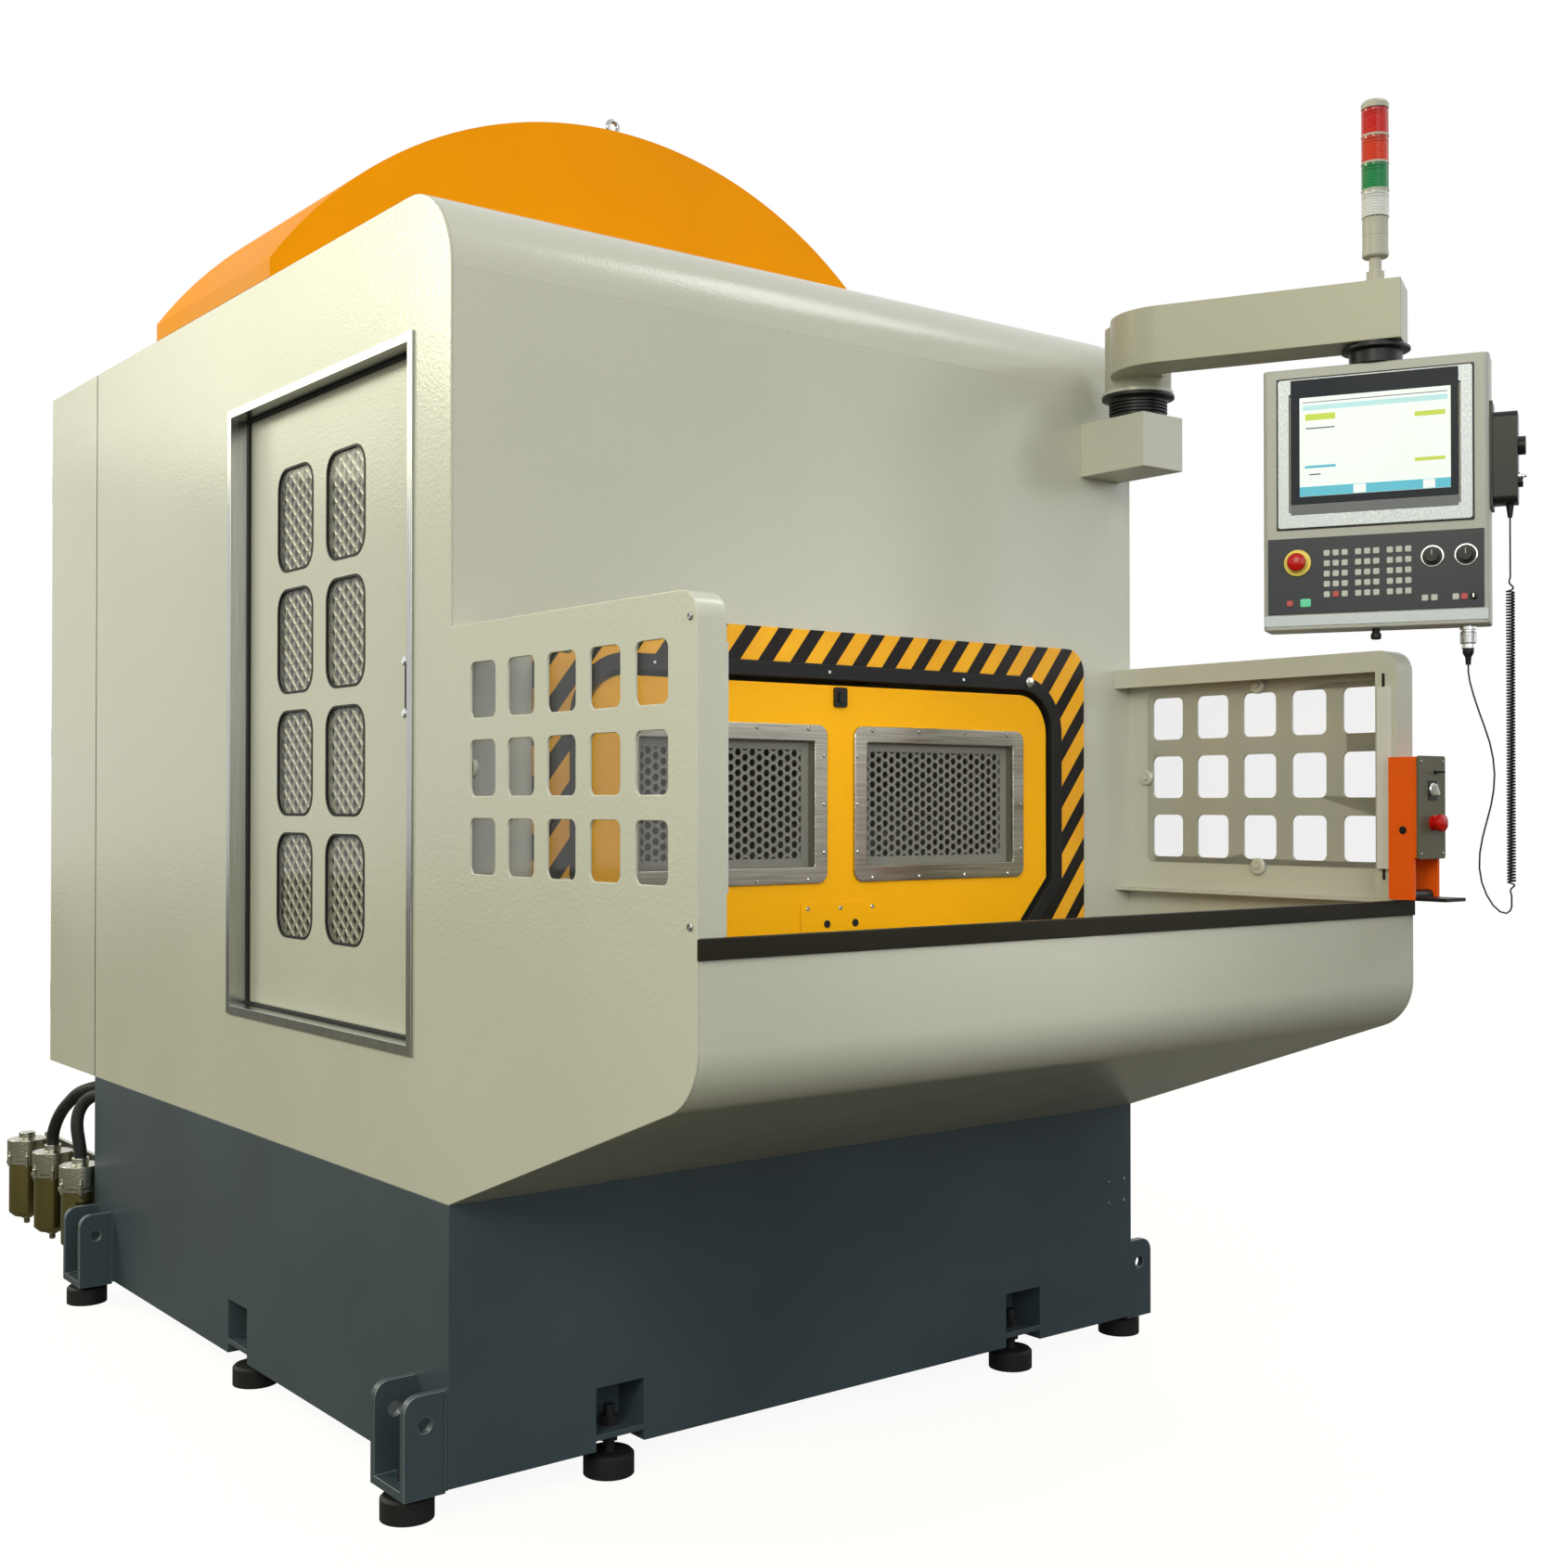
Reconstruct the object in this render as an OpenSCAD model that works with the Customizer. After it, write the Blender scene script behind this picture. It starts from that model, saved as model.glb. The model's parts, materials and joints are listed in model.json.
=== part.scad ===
// Robotic deburring machine: a closed robot cell on a welded base, with a loading bay in front.
// Lengths are in millimetres. In machine places x runs to the right, y to the back and z up,
// from the middle of the base on the floor.

/* [Base] */
// Width of the base and of the cabin on it
base_w = 1990; // [1900:10:2200]
// Depth of the base, front to back
base_d = 2170; // [2150:10:2300]
// Height of the base's lower edge above the floor
base_z = 67; // [62:1:80]
// Height of the base itself
base_h = 556; // [520:2:600]
// Plate thickness of the base
base_plate = 15; // [8:1:20]
// Width of a foot pocket
pocket_w = 118; // [100:1:140]
// Height of a foot pocket
pocket_h = 96; // [80:1:120]
// Depth of a foot pocket
pocket_d = 100; // [90:1:120]
// Height of a foot pocket's floor above the base's lower edge
pocket_rise = 35; // [32:1:50]
// Height of the notch in the base's lower edge, under a foot pocket
notch_h = 22; // [15:1:26]
// Distance of the front and rear foot pockets from the middle
pocket_x = 595; // [450:5:700]

/* [Feet and lifting brackets] */
// Diameter of a foot pad
pad_d = 108; // [80:1:112]
// Height of a foot pad
pad_h = 48; // [40:1:50]
// Chamfer round a foot pad's upper edge
pad_edge = 6; // [2:1:10]
// Diameter of a levelling stud
stud_d = 24; // [16:1:30]
// Distance of a levelling foot from the face it stands behind or before
foot_inset = 46; // [42:1:50]
// Reach of a lifting bracket out of the base
bracket_reach = 90; // [85:1:110]
// Height of a lifting bracket
bracket_h = 202; // [180:1:240]
// Height of a lifting bracket's lower edge above the floor
bracket_z = 57; // [57:1:60]
// Thickness of a lifting bracket's plates
bracket_t = 18; // [12:1:22]
// Clear width between a lifting bracket's cheeks
bracket_gap = 112; // [112:1:130]
// Distance of a lifting bracket's middle from the base's end
bracket_inset = 85; // [80:1:180]
// Radius of a lifting bracket's upper corner
bracket_r = 34; // [20:1:44]
// Bore for the lifting bar
lift_bore = 30; // [20:1:40]

/* [Cabin] */
// Height of the cabin's roof above the floor
cabin_top = 2655; // [2600:5:2800]
// Radius of the rolled front roof edge
roll_r = 180; // [80:5:180]
// Thickness of the cabin's sheets
sheet = 6; // [3:1:6]
// Depth of the control cabinet behind the base
cabinet_d = 430; // [350:5:500]

/* [Loading bay] */
// Reach of the loading bay in front of the cabin
bay_reach = 840; // [800:5:950]
// Slope of the bay's floor
bay_slope = 20; // [15:1:22]
// Radius of the bay's rolled lower edge
nose_r = 116; // [80:1:130]
// Height of the bay's front rim above the floor
rim_z = 1193; // [1150:1:1200]
// Height of the dark trim on the rim
trim_h = 35; // [25:1:50]
// Thickness of the dark trim
trim_t = 6; // [3:1:8]
// Height of the wings' upper edge above the floor
wing_top = 1759; // [1740:1:1850]
// Thickness of a wing
wing_t = 60; // [50:1:80]
// Depth of the lip inside a wing's upper edge
lip_top = 48; // [40:1:60]
// Depth of the lip inside a wing's front edge
lip_front = 57; // [40:1:60]
// Radius of a wing's upper front corner
wing_r = 48; // [30:1:60]
// Columns of windows in a wing
wing_cols = 5; // [3:1:5]
// Rows of windows in a wing
wing_rows = 3; // [2:1:3]
// Width of a wing window
wing_win_w = 98; // [80:1:120]
// Height of a wing window
wing_win_h = 107; // [80:1:120]
// Distance from one window column to the next
wing_pitch_y = 144; // [125:1:148]
// Distance from one window row to the next
wing_pitch_z = 150; // [130:1:150]
// Distance of the first window column from the cabin's front
wing_first_y = 132; // [115:1:140]
// Depth of the top window row below the wing's upper edge
wing_first_z = 130; // [110:1:140]

/* [Front opening and partition] */
// Half of the partition's width
part_half = 678; // [640:1:690]
// Height of the partition's upper edge above the floor
part_top = 1682; // [1640:1:1690]
// Radius of the partition's upper corners
part_r = 95; // [60:1:110]
// Thickness of the partition
part_t = 40; // [30:1:50]
// Height of the partition's full width above the floor
part_wide_z = 1225; // [1200:1:1250]
// Drop of the partition's lower chamfer
chamfer_h = 102; // [80:1:110]
// Width of the partition's lower chamfer
chamfer_w = 90; // [60:1:90]
// Running gap between the partition and its seal
part_gap = 12; // [6:1:15]
// Width of the rubber seal
seal_w = 35; // [20:1:45]
// Width of the striped frame at its sides
frame_w = 85; // [60:1:90]
// Width of the striped frame along its top
frame_top_w = 76; // [60:1:90]
// How far the striped frame stands out of the front
frame_t = 8; // [4:1:12]
// Width of a partition window's bezel
bezel_w = 551; // [500:1:600]
// Height of a partition window's bezel
bezel_h = 361; // [320:1:370]
// Width of a bezel's rim
bezel_rim = 38; // [30:1:45]
// Thickness of a bezel's flange
bezel_t = 8; // [4:1:10]
// Lip of a bezel that clamps the guard
bezel_lip = 12; // [6:1:15]
// Distance of a partition window from the middle
bezel_x = 316; // [312:1:340]
// Height of the partition windows' middle above the floor
bezel_z = 1410; // [1400:1:1440]
// Thickness of the perforated guards
guard_t = 4; // [2:1:6]
// Holes in a row of a partition guard
guard_cols = 9; // [5:1:9]
// Rows of holes in a partition guard
guard_rows = 16; // [6:2:16]
// Diameter of a hole in a partition guard
guard_hole = 18; // [10:1:18]
// Width of the access plate under the windows
access_w = 232; // [180:1:260]
// Height of the access plate
access_h = 100; // [60:1:120]

/* [Turntable] */
// Radius of the table
table_r = 582; // [500:1:582]
// Thickness of the table
table_t = 30; // [20:1:40]
// Height of the table's top above the floor
table_z = 1030; // [1000:1:1040]
// Diameter of the table's hub
hub_d = 300; // [200:1:340]
// Height of the table's hub
hub_h = 40; // [30:1:60]
// Diameter of the table's drive
drive_d = 360; // [341:1:380]

/* [Side door] */
// Clear width of the side opening
door_w = 965; // [900:1:980]
// Clear height of the side opening
door_h = 1449; // [1400:1:1480]
// Distance of the side opening's middle behind the cabin's front
door_back = 654; // [620:1:665]
// Height of the side opening's middle above the floor
door_z = 1637; // [1620:1:1660]
// Width of the trim round the side opening
door_trim = 15; // [12:1:30]
// How deep the door lies behind the side's face
door_recess = 45; // [45:1:55]
// Thickness of the door
door_t = 30; // [25:1:40]
// Thickness of the door's skin in front of its mesh
door_skin = 10; // [6:1:14]
// Overlap of the door behind the edge of its opening
door_lap = 20; // [12:1:24]
// Running gap round the door
door_gap = 2; // [1:0.5:3]
// Width of a door window
door_win_w = 200; // [160:1:220]
// Height of a door window
door_win_h = 245; // [200:1:260]
// Radius of a door window's corners
door_win_r = 50; // [20:1:60]
// Distance between the two columns of door windows
door_pitch_y = 276; // [250:1:300]
// Distance between the rows of door windows
door_pitch_z = 288; // [270:1:300]
// Length of the door handle
handle_l = 112; // [90:1:140]

/* [Hood] */
// Depth of the hood over the robot
hood_d = 770; // [700:5:850]
// Distance of the hood's front from the cabin's front
hood_y = 905; // [800:5:950]
// Height of the hood's straight skirt
hood_skirt = 45; // [30:1:60]
// Rise of the hood's arch over its skirt
hood_rise = 519; // [450:1:560]
// Thickness of the hood's sheet
hood_sheet = 5; // [3:1:6]

/* [Operator panel and its arm] */
// Width of the bracket that carries the arm
mount_w = 148; // [144:1:180]
// Depth of the bracket that carries the arm
mount_d = 212; // [205:1:240]
// Height of the bracket that carries the arm
mount_h = 136; // [110:1:150]
// Height of that bracket's lower face above the floor
mount_z = 2251; // [2230:1:2270]
// Height of the pivot under the arm
pivot_h = 68; // [50:1:80]
// Radius of the pivot's flange
pivot_r = 91; // [80:1:91]
// Width of the arm
arm_w = 127; // [110:1:140]
// Outer radius of the bend of the arm
arm_bend_r = 150; // [135:1:170]
// Height of the arm
arm_h = 138; // [110:1:160]
// Height of the hub that carries the panel
panel_hub_h = 48; // [40:1:60]
// Width of the operator panel
panel_w = 500; // [490:1:540]
// Height of the operator panel
panel_h = 613; // [600:1:640]
// Depth of the operator panel
panel_d = 100; // [90:1:110]
// Height of the key field
keys_h = 180; // [170:1:190]
// Height of the strip under the key field
strip_h = 36; // [30:1:45]
// Thickness of the plates on the panel's face
face_t = 6; // [4:1:8]
// Width of the screen's frame
screen_w = 430; // [420:1:450]
// Height of the screen's frame
screen_h = 350; // [340:1:356]
// Width of the clear display
display_w = 378; // [350:1:385]
// Height of the clear display
display_h = 274; // [260:1:290]
// Diameter of the stack light
stack_d = 62; // [50:1:70]
// Height of one lens of the stack light
lens_h = 64; // [55:1:70]

/* [Start box] */
// Width of the start box
start_w = 100; // [90:1:120]
// Depth of the start box
start_d = 72; // [60:1:90]
// Height of the start box
start_h = 225; // [200:1:240]
// Height of the start box's lower face above the floor
start_z = 1290; // [1285:1:1300]

/* [Hidden] */
$fn = 96;
half_w = base_w / 2;
front_y = -base_d / 2;
back_y = base_d / 2;
deck = base_z + base_h;
bracket_y = back_y - bracket_inset;
bay_y = front_y - bay_reach;
fit = 0.3;

// Bay outline: the rolled lower edge touches the front and the sloped floor
nose_foot_y = bay_y + nose_r - nose_r * sin(bay_slope);
nose_c = [bay_y + nose_r, deck + (front_y - nose_foot_y) * tan(bay_slope) + nose_r * cos(bay_slope)];
wing_c = [bay_y + wing_r, wing_top - wing_r];
roll_c = [front_y + roll_r, cabin_top - roll_r];
pane_t = 5;
pane_margin = 14;
curtain_t = 12;
curtain_w = 34;
curtain_z = [rim_z + 70, wing_top - 84];

// Turntable and partition
table_y = front_y + part_t / 2;
chamfer_shift = tan(atan2(chamfer_w, chamfer_h) / 2);
opening_half = part_half + part_gap + seal_w + frame_w;
opening_top = part_top + part_gap + seal_w + frame_top_w;
opening_r = 60;
seal_stand = 4;
access_t = 4;
access_rise = 56;
bezel_in_w = bezel_w - 2 * bezel_rim;
bezel_in_h = bezel_h - 2 * bezel_rim;
guard_w = bezel_in_w + 2 * bezel_lip;
guard_h = bezel_in_h + 2 * bezel_lip;
hub_z = table_z - table_t - hub_h;
drive_foot = [260, 77];
drive_l = 420;

// Doors of the control cabinet
rear_door = [half_w - 40, cabin_top - deck - 160];
door_joint = 4;

// Side door
door_x = -half_w + door_recess;
door_y = -front_y - door_back;
door_l = door_w + 2 * door_lap;
door_tall = door_h + 2 * door_lap;
door_low = door_z - door_tall / 2;
door_high = door_z + door_tall / 2;
rail_t = 38;
rail_groove = 10;
rail_end = 4;
rail_back = 20;
door_rows = 4;
door_row_low = door_z - 1.5 * door_pitch_z + 14;
door_col_y = -door_y + 65;
door_diamonds = [4, 6];
handle_reach = 30;
handle_bar_r = 7;

// Hood
hood_front = front_y + hood_y;
hood_r = (half_w * half_w + hood_rise * hood_rise) / (2 * hood_rise);
hood_base = cabin_top + hood_skirt;
hood_c = hood_base + hood_rise - hood_r;
eyebolt_r = 22;
eyebolt_t = 12;
eyebolt_inset = 60;
roof_margin = [100, 60];

// Arm: pivot, bend and panel joint in plan
pivot_p = [half_w - 115, front_y - 130];
bend_p = pivot_p + [-74, -183];
arm_run = 500;
joint_p = pivot_p + [136, -603];
arm_tail = 64;
arm_boss_r = pivot_r - 8;
pivot_rim = 14;
panel_hub_r = 60;
panel_hub_rim = [78, 16];
mount_top = mount_z + mount_h;
arm_boss_h = 23;
arm_bottom = mount_top + pivot_h + arm_boss_h;
arm_top = arm_bottom + arm_h;
panel_top = arm_bottom - panel_hub_h;
panel_z = panel_top - panel_h;
panel_turn = -62.3;
face_y = -panel_d / 2;
keys_low = panel_z + strip_h;
keys_top = keys_low + keys_h;
screen_z = (keys_top + panel_top) / 2 - 2;
key_size = 14;
key_t = 3;
key_pitch = 20;
key_block = 70;
key_rows = 5;
key_row_pitch = 24;
key_first = [-104, 20];
key_low_row = [-188, -152, 112, 132, 178, 196];
keys_mid = keys_low + keys_h / 2;
stop_u = -170;
stop_z = keys_mid + 30;
knob_u = [128, 200];
knob_d = 36;
knob_shaft = 10;
stop_d = 46;
stop_travel = 6;
stack_foot_d = stack_d - 36;
stack_foot_h = 70;
stack_cup_h = 88;
stack_cap_h = 20;
stack_low = arm_top + stack_foot_h + stack_cup_h;
lenses = 4;

// Pendant, plug and cord, in the panel's own places
pendant_u = panel_w / 2 + 40;
pendant_z = panel_z + 271;
pendant_h = 208;
boot_h = 30;
pendant_w = 72;
pendant_t = 52;
holder_t = 6;
holder_w = 80;
plug_u = 200;
plug_h = 90;
plug_d = 24;
cord_d = 4;
coil_d = 20;
coil_high = 1935;
coil_low = 1192;
cord_upper = [[290, 0, 2058], [290, 0, 2030], [290, 0, 2000], [290, 0, 1970], [290, 0, 1935]];
cord_lower = [
    [200, 0, 1727], [200, 0, 1712], [203, 0, 1690], [211, 0, 1658], [222, 0, 1622], [234, 0, 1586],
    [245, 0, 1550], [252, 0, 1514], [255, 0, 1478], [253, 0, 1442], [247, 0, 1406], [238, 0, 1370],
    [229, 0, 1334], [223, 0, 1298], [222, 0, 1264], [227, 0, 1232], [237, 0, 1204], [251, 0, 1180],
    [266, 0, 1166], [279, 0, 1163], [287, 0, 1169], [290, 0, 1181], [290, 0, 1192]
];

// Start box on the right wing's front
start_x = half_w - 95;
start_front = bay_y - start_d;
start_stop_p = [start_x + 54, start_z + 78];
selector_p = [start_x + 50, start_z + 152];
start_stop_d = 40;
cheek_t = 8;
cheek_d = 20;
cover_t = 6;
stem_d = 22;
paddle_w = start_w - 2 * cheek_t - 8;
paddle_l = 92;
paddle_t = 8;
hinge_y = bay_y - 44;
hinge_z = rim_z + 14;
hinge_d = 12;

// Filters behind the base
filter_x = -half_w - 20;
filter_first = back_y + 65;
filter_pitch = 265;
filters = 3;
bowl_d = 105;
bowl_h = 177;
bowl_z = 123;
head_d = 116;
head_h = 62;
head_lug = 66;
hose_d = 36;
port_h = 20;
port_z = bowl_z + bowl_h + head_h + port_h;
// Ways of the two hoses from their filters: to the right, share of the way to the base, share of the rise
hose_ways = [
    [[0, 0, 0], [0, 0, 0.08], [-3, -0.06, 0.2], [-6, -0.18, 0.37], [0, -0.28, 0.52], [14, -0.21, 0.64],
     [32, 0.06, 0.72], [46, 0.46, 0.747], [50, 0.77, 0.75], [50, 1, 0.75]],
    [[0, 0, 0], [0, 0, 0.08], [1, 0.024, 0.18], [6, 0.076, 0.315], [12, 0.158, 0.44], [20, 0.258, 0.55],
     [38, 0.41, 0.7], [70, 0.65, 0.8], [94, 0.85, 0.826], [100, 0.933, 0.83], [100, 1, 0.83]]
];
hose_routes = [for (i = [0, 1]) let (from = filter_first + i * filter_pitch) [for (w = hose_ways[i])
    [filter_x + w.x, from + (back_y - from) * w.y, port_z + (deck - port_z) * w.z]]];

// Robot: axes of its joints, from the floor up
robot_y = 420;
robot_foot_h = 300;
foot_plate = 24;
turret_z = deck + robot_foot_h;
shoulder_step = [-120, 377];
lower_arm_l = 750;
wrist_step = [-560, 60];
shoulder_p = [robot_y, turret_z] + shoulder_step;
elbow_p = shoulder_p + [0, lower_arm_l];
wrist_p = elbow_p + wrist_step;
link_w = 150;
link_ends = [120, 85];
side_gap = 0.5;
cheek_w = [70, 50, 20];
pin_d = 60;
wrist_pin_d = 40;
turret_d = [400, 300];
turret_h = [150, 60];
shoulder_r = 130;
elbow_r = 100;
wrist_r = 62;
forearm_z = [-20, 100];
forearm_y = [125, 300];
foot_half = [300, 260];
post_half = 190;
fork_gap = 100;
motor_drop = 90;
shaft_d = 26;
shaft_l = 79;
spindle_d = 96;
spindle_l = 210;

// Middle of the floor box that holds the whole machine
origin_x = 48;
origin_y = -188;

// Points of an arc about c, from angle a to angle b
function arc(c, r, a, b, n = 12) =
    [for (i = [0:n]) c + r * [cos(a + (b - a) * i / n), sin(a + (b - a) * i / n)]];

// Outline of a rectangle with round corners, about its middle
function rounded_pts(w, h, r, n = 6) = concat(
    arc([w / 2 - r, h / 2 - r], r, 0, 90, n), arc([r - w / 2, h / 2 - r], r, 90, 180, n),
    arc([r - w / 2, r - h / 2], r, 180, 270, n), arc([w / 2 - r, r - h / 2], r, 270, 360, n));

// Outline of the cabin's side with its wing, as (y, z)
function side_pts() = concat(
    [[back_y, deck], [front_y, deck]], arc(nose_c, nose_r, 270 - bay_slope, 180),
    arc(wing_c, wing_r, 180, 90), [[front_y, wing_top]], arc(roll_c, roll_r, 180, 90),
    [[back_y, cabin_top]]);

// Outline of the partition grown by e, as (x, z), from the height low upwards
function portal_pts(e, low) = concat(
    [[part_half - chamfer_w + e, low],
     [part_half - chamfer_w + e, part_wide_z - chamfer_h - e * chamfer_shift],
     [part_half + e, part_wide_z - e * chamfer_shift]],
    arc([part_half - part_r, part_top - part_r], part_r + e, 0, 90),
    arc([part_r - part_half, part_top - part_r], part_r + e, 90, 180),
    [[-part_half - e, part_wide_z - e * chamfer_shift],
     [chamfer_w - part_half - e, part_wide_z - chamfer_h - e * chamfer_shift],
     [chamfer_w - part_half - e, low]]);

// Round rod with 10 sides swept along a list of points
function unit(v) = v / norm(v);
function route_dir(p, i) = unit(p[min(i + 1, len(p) - 1)] - p[max(i - 1, 0)]);
function ring(p, i, r, side, sides = 10) =
    let (t = route_dir(p, i), a = unit(side - (side * t) * t), b = cross(t, a))
    [for (k = [0:sides - 1]) p[i] + r * (a * cos(360 * k / sides) + b * sin(360 * k / sides))];

module swept_rod(p, d, side, sides = 10) {
    last = len(p) - 1;
    polyhedron(
        [for (i = [0:last]) each ring(p, i, d / 2, side, sides)],
        concat(
            [[for (k = [0:sides - 1]) k]],
            [for (i = [0:last - 1], k = [0:sides - 1])
                [i * sides + (k + 1) % sides, i * sides + k,
                 (i + 1) * sides + k, (i + 1) * sides + (k + 1) % sides]],
            [[for (k = [sides - 1:-1:0]) last * sides + k]]));
}

// Extrudes a (y, z) outline to the right from x
module across(x, t) translate([x, 0, 0]) rotate([90, 0, 90]) linear_extrude(t) children();

// Extrudes an (x, z) outline backwards from y
module backwards(y, t) translate([0, y + t, 0]) rotate([90, 0, 0]) linear_extrude(t) children();

// Box from its lowest to its highest corner
module block(low, high) translate(low) cube(high - low);

module rounded(w, h, r) polygon(rounded_pts(w, h, r));

// Frame between two rounded rectangles
module rounded_ring(w, h, r, rim) difference() {
    rounded(w, h, r);
    rounded(w - 2 * rim, h - 2 * rim, max(r - rim, 4));
}

// Places on the operator panel: x along its width, -y out of its face
module on_panel() translate([joint_p.x, joint_p.y, 0]) rotate([0, 0, panel_turn]) children();

// Machine places moved to the part's own origin
module placed() translate([-origin_x, -origin_y, 0]) children();

// Six feet stand in pockets of the base: [place on the base's edge, direction inwards]
pocket_feet = [
    [[-pocket_x, front_y], [0, 1]], [[pocket_x, front_y], [0, 1]],
    [[-pocket_x, back_y], [0, -1]], [[pocket_x, back_y], [0, -1]],
    [[-half_w, 0], [1, 0]], [[half_w, 0], [-1, 0]]
];
bracket_places = [for (x = [-1, 1], y = [-1, 1]) [x, y]];

// Box that reaches into the base from a pocket's place
module pocket_box(foot, w, d, z0, z1) translate([foot[0].x, foot[0].y, 0])
    rotate([0, 0, atan2(foot[1].y, foot[1].x)]) block([-1, -w / 2, z0], [d, w / 2, z1]);

module base_frame() color("#3e464e") difference() {
    block([-half_w, front_y, base_z], [half_w, back_y, deck]);
    difference() {
        block([base_plate - half_w, front_y + base_plate, base_z + base_plate],
            [half_w - base_plate, back_y - base_plate, deck - base_plate]);
        for (f = pocket_feet) pocket_box(f, pocket_w + 2 * base_plate, pocket_d + base_plate, base_z,
            base_z + pocket_rise + pocket_h + base_plate);
    }
    for (f = pocket_feet) {
        pocket_box(f, pocket_w, pocket_d, base_z + pocket_rise, base_z + pocket_rise + pocket_h);
        pocket_box(f, pocket_w, pocket_d, base_z - 1, base_z + notch_h);
        translate([f[0].x + f[1].x * foot_inset, f[0].y + f[1].y * foot_inset, base_z])
            cylinder(d = stud_d + 2 * fit, h = pocket_rise + 1);
    }
}

module bracket_cheek() backwards(0, bracket_t) difference() {
    union() {
        square([bracket_reach, bracket_h - bracket_r]);
        square([bracket_reach - bracket_r, bracket_h]);
        translate([bracket_reach - bracket_r, bracket_h - bracket_r]) circle(bracket_r);
    }
    translate([bracket_reach / 2, bracket_h - 60]) circle(d = lift_bore);
}

module lifting_bracket() {
    for (y = [-bracket_gap / 2 - bracket_t, bracket_gap / 2]) translate([0, y, 0]) bracket_cheek();
    difference() {
        block([0, -bracket_gap / 2, 0], [bracket_reach, bracket_gap / 2, bracket_t]);
        translate([foot_inset, 0, -1]) cylinder(d = stud_d + 2 * fit, h = bracket_t + 2);
    }
}

module lifting_brackets() color("#3e464e") for (p = bracket_places)
    translate([p.x * half_w, p.y * bracket_y, bracket_z])
        rotate([0, 0, p.x > 0 ? 0 : 180]) lifting_bracket();

// Foot whose stud passes a plate that lies between the heights low and high
module levelling_foot(low, high) {
    nut_h = 0.8 * stud_d;
    cylinder(d = pad_d, h = pad_h - pad_edge);
    translate([0, 0, pad_h - pad_edge]) cylinder(d1 = pad_d, d2 = pad_d - 2 * pad_edge, h = pad_edge);
    cylinder(d = stud_d, h = high + 2.2 * nut_h);
    translate([0, 0, low - nut_h]) cylinder(d = stud_d * 1.7, h = nut_h, $fn = 6);
    translate([0, 0, high]) cylinder(d = stud_d * 1.7, h = nut_h, $fn = 6);
}

module levelling_feet() color("#17181a") {
    for (f = pocket_feet) translate([f[0].x + f[1].x * foot_inset, f[0].y + f[1].y * foot_inset, 0])
        levelling_foot(base_z + notch_h, base_z + pocket_rise);
    for (p = bracket_places) translate([p.x * (half_w + foot_inset), p.y * bracket_y, 0])
        levelling_foot(bracket_z, bracket_z + bracket_t);
}

// Window openings of a wing, as (y, z)
module wing_openings() for (i = [0:wing_cols - 1], j = [0:wing_rows - 1])
    translate([front_y - wing_first_y - i * wing_pitch_y, wing_top - wing_first_z - j * wing_pitch_z])
        rounded(wing_win_w, wing_win_h, 16);

// Folded edge of a wing, from the rim round its upper corner to the cabin
module wing_edge() {
    across(0, wing_t) polygon(concat(
        [[bay_y, rim_z]], arc(wing_c, wing_r, 180, 90), [[front_y, wing_top], [front_y, wing_top - sheet]],
        arc(wing_c, wing_r - sheet, 90, 180), [[bay_y + sheet, rim_z]]));
    across(wing_t - sheet, sheet) polygon(concat(
        [[bay_y, rim_z]], arc(wing_c, wing_r, 180, 90), [[front_y, wing_top], [front_y, wing_top - lip_top],
         [bay_y + lip_front, wing_top - lip_top], [bay_y + lip_front, rim_z]]));
    block([0, bay_y + sheet + trim_t, rim_z - sheet], [wing_t, front_y, rim_z]);
}

module side_sheet() {
    across(0, sheet) difference() {
        polygon(side_pts());
        wing_openings();
        children();
    }
    wing_edge();
}

module left_side_panel() color("#c4c6bc") translate([-half_w, 0, 0]) side_sheet()
    translate([-door_y, door_z]) square([door_w, door_h], center = true);

module right_side_panel() color("#c4c6bc") mirror([1, 0, 0]) translate([-half_w, 0, 0]) side_sheet();

module front_panel() color("#bfc1ba") backwards(front_y, sheet) difference() {
    translate([sheet - half_w, deck]) square([base_w - 2 * sheet, cabin_top - roll_r - deck]);
    polygon(portal_pts(part_gap + seal_w, deck - 1));
}

module roof_panel() color("#c4c6bc") difference() {
    across(sheet - half_w, base_w - 2 * sheet) polygon(concat(
        arc(roll_c, roll_r, 180, 90), [[back_y, cabin_top], [back_y, cabin_top - sheet]],
        arc(roll_c, roll_r - sheet, 90, 180)));
    block([roof_margin.x - half_w, hood_front + roof_margin.y, cabin_top - sheet - 1],
        [half_w - roof_margin.x, hood_front + hood_d - roof_margin.y, cabin_top + 1]);
}

// Control cabinet, closed all round, with the joints of its two rear doors
module rear_cabinet() color("#c4c6bc") difference() {
    block([-half_w, back_y, deck], [half_w, back_y + cabinet_d, cabin_top]);
    block([sheet - half_w, back_y + sheet, deck + sheet],
        [half_w - sheet, back_y + cabinet_d - 2 * sheet, cabin_top - sheet]);
    backwards(back_y + cabinet_d - sheet / 2, sheet) for (x = [-1, 1])
        translate([x * half_w / 2, (deck + cabin_top) / 2]) difference() {
            square(rear_door, center = true);
            square([rear_door.x - 2 * door_joint, rear_door.y - 2 * door_joint], center = true);
        }
}

module hood_outline(inset) {
    translate([inset - half_w, cabin_top]) square([base_w - 2 * inset, hood_skirt]);
    intersection() {
        translate([0, hood_c]) circle(hood_r - inset, $fn = 180);
        translate([inset - half_w, hood_base]) square([base_w - 2 * inset, hood_rise + 10]);
    }
}

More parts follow.
